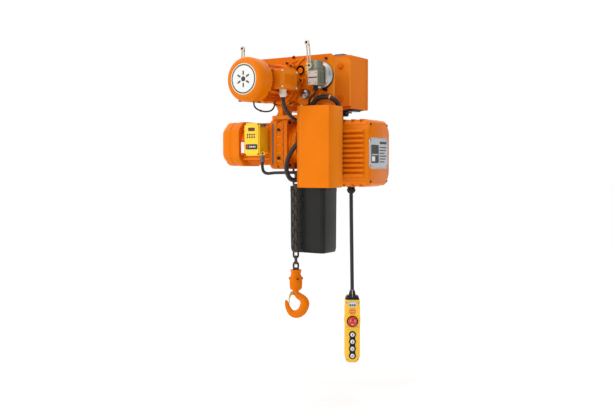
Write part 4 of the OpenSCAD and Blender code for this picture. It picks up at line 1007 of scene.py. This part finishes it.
width = [(-735.3, 24.2), (-738, 25.4), (-790, 25.6), (-797, 27.6), (-806, 28.0), (-815, 27.6), (-823, 25.6), (-890,
        25.4), (-897, 26.6), (-905, 27.0), (-913, 26.6),
         (-920, 25.4), (-936, 24.6), (-945, 22.0), (-950, 17.0), (-951, 13.0)]
p.rings([slab(w, -19.6 if zz > -944 else -15, 22 if zz > -944 else 17, zz, 7) for zz, w in width])
p.prism("y", rounded(-16.5, -792, 16.5, -738, 4, 4), -21.4, -18)
p.prism("y", rounded(-17.5, -944, 17.5, -834, 12, 6), -21.8, -18)
# guard round the emergency stop: a collar with a lip below
p.lathe("y", STOP, [(23.5, -18), (23.5, -22), (22, -24), (19.6, -24), (19.2, -21), (19.2, -19)], 56)
p.prism("y", [(-22, -828), (22, -828), (17, -836), (-17, -836)], -24, -18)
p.prism("x", rect(-20, -930, 22, -760), -26.1, 26.1)
for s in (-1, 1):
    for k in range(7):
        p.prism("y", [(s * 26.0, -842 - 6.5 * k), (s * 27.2, -843.6 - 6.5 * k), (s * 26.0, -845.2 - 6.5 * k)], -10, 12)
p.use(LABEL).prism("y", rounded(-12.5, -758, 12.5, -741, 1.5, 3), -21.9, -21)
p.use(WHITE).prism("y", rounded(-10.5, -748, 10.5, -744.5, 0.6, 2), -22.1, -21.6)
p.use(INK)
for x in (-7, 0, 7):
    p.prism("y", rounded(x - 2, -756, x + 2, -750.5, 0.6, 2), -22.1, -21.6)
p.use(RED)
for zz, w in ((-766, 10), (-771.5, 12), (-777, 12), (-782.5, 9)):
    p.prism("y", rounded(-w, zz - 1.5, w, zz + 1.5, 0.6, 2), -21.75, -21.2)
screws(p, "y", ((-21, -745), (21, -745), (-18, -940), (18, -940)), 2.4, -19.4, -20.6, STEEL)
# dark wells round the stop and the buttons
p.use(PLASTIC)
p.lathe("y", STOP, [(18.8, -19.4), (18.8, -22.6), (16.4, -23.2), (15.6, -22.4), (15.6, -19.4)], 48)
for i in range(4):
    zz = -853.5 - 24.2 * i
    p.lathe("y", (0, zz), [(12, -21.4), (12, -23), (11.2, -24), (8.2, -24.2), (7.4, -23.4), (7.4, -21.4)], 40)
p.prism("y", rounded(-9.5, -936, 9.5, -843, 6, 4), -23.0, -21.4)
p.done("pendant_case", "pendant", ["pendant_shell"], "yellow_plastic", bevel=0.6)

p = Piece(RED, FACE)
p.lathe("y", STOP, [(9, -22.6), (9, -27), (14, -28.4), (15, -30.4), (15, -32.2), (13.6, -34.6), (9, -36), (0.1,
        -36.5)], 48)
p.use(WHITE)
for k in range(3):
    sweep = [2 * math.pi * k / 3 + 0.12 * j for j in range(9)]
    p.prism("y", [(r * math.cos(a), STOP[1] + r * math.sin(a)) for r, way in ((9.6, 1), (8.2,
            -1)) for a in sweep[::way]], -36.4, -35)
p.done("stop_mushroom", "estop_button", ["estop_button"], "red_plastic", bevel=0.3)
for i, name in enumerate(("up", "down", "left", "right")):
    zz = -853.5 - 24.2 * i
    p = Piece(WHITE, FACE)
    p.lathe("y", (0, zz), [(7, -21), (7, -25.4), (6.2, -26.6), (3, -27.2), (0.1, -27.3)], 40)
    p.use(INK)
    d = (1, -1)[i % 2]
    arrow = [(0, zz + 4.4 * d), (3.2, zz + 0.4 * d), (1.2, zz + 0.4 * d), (1.2, zz - 3.6 * d), (-1.2, zz - 3.6 * d),
            (-1.2, zz + 0.4 * d), (-3.2, zz + 0.4 * d)]
    if i > 1:
        arrow = [(w - zz, zz + u) for u, w in arrow]
    p.prism("y", arrow, -27.35, -26.6)
    p.done(name + "_key", name + "_button", [name + "_button"], "white_plastic", bevel=0.15)

# ---- CAD nodes that are shown as they are ----
SHOWN = (
    (ORANGE, "trolley_front_plate trolley_rear_plate suspension_yoke"),
    (STEEL, "suspension_shafts wheel_axles"),
    (TURNED, "front_left_wheel front_right_wheel rear_left_wheel rear_right_wheel trolley_pinion trolley_countershaft "
             "trolley_rotor hoist_rotor hoist_countershaft lift_wheel"),
    (GREY, "control_gear"))
for mat, nodes in SHOWN:
    for node in nodes.split():
        finish_on(node, mat)
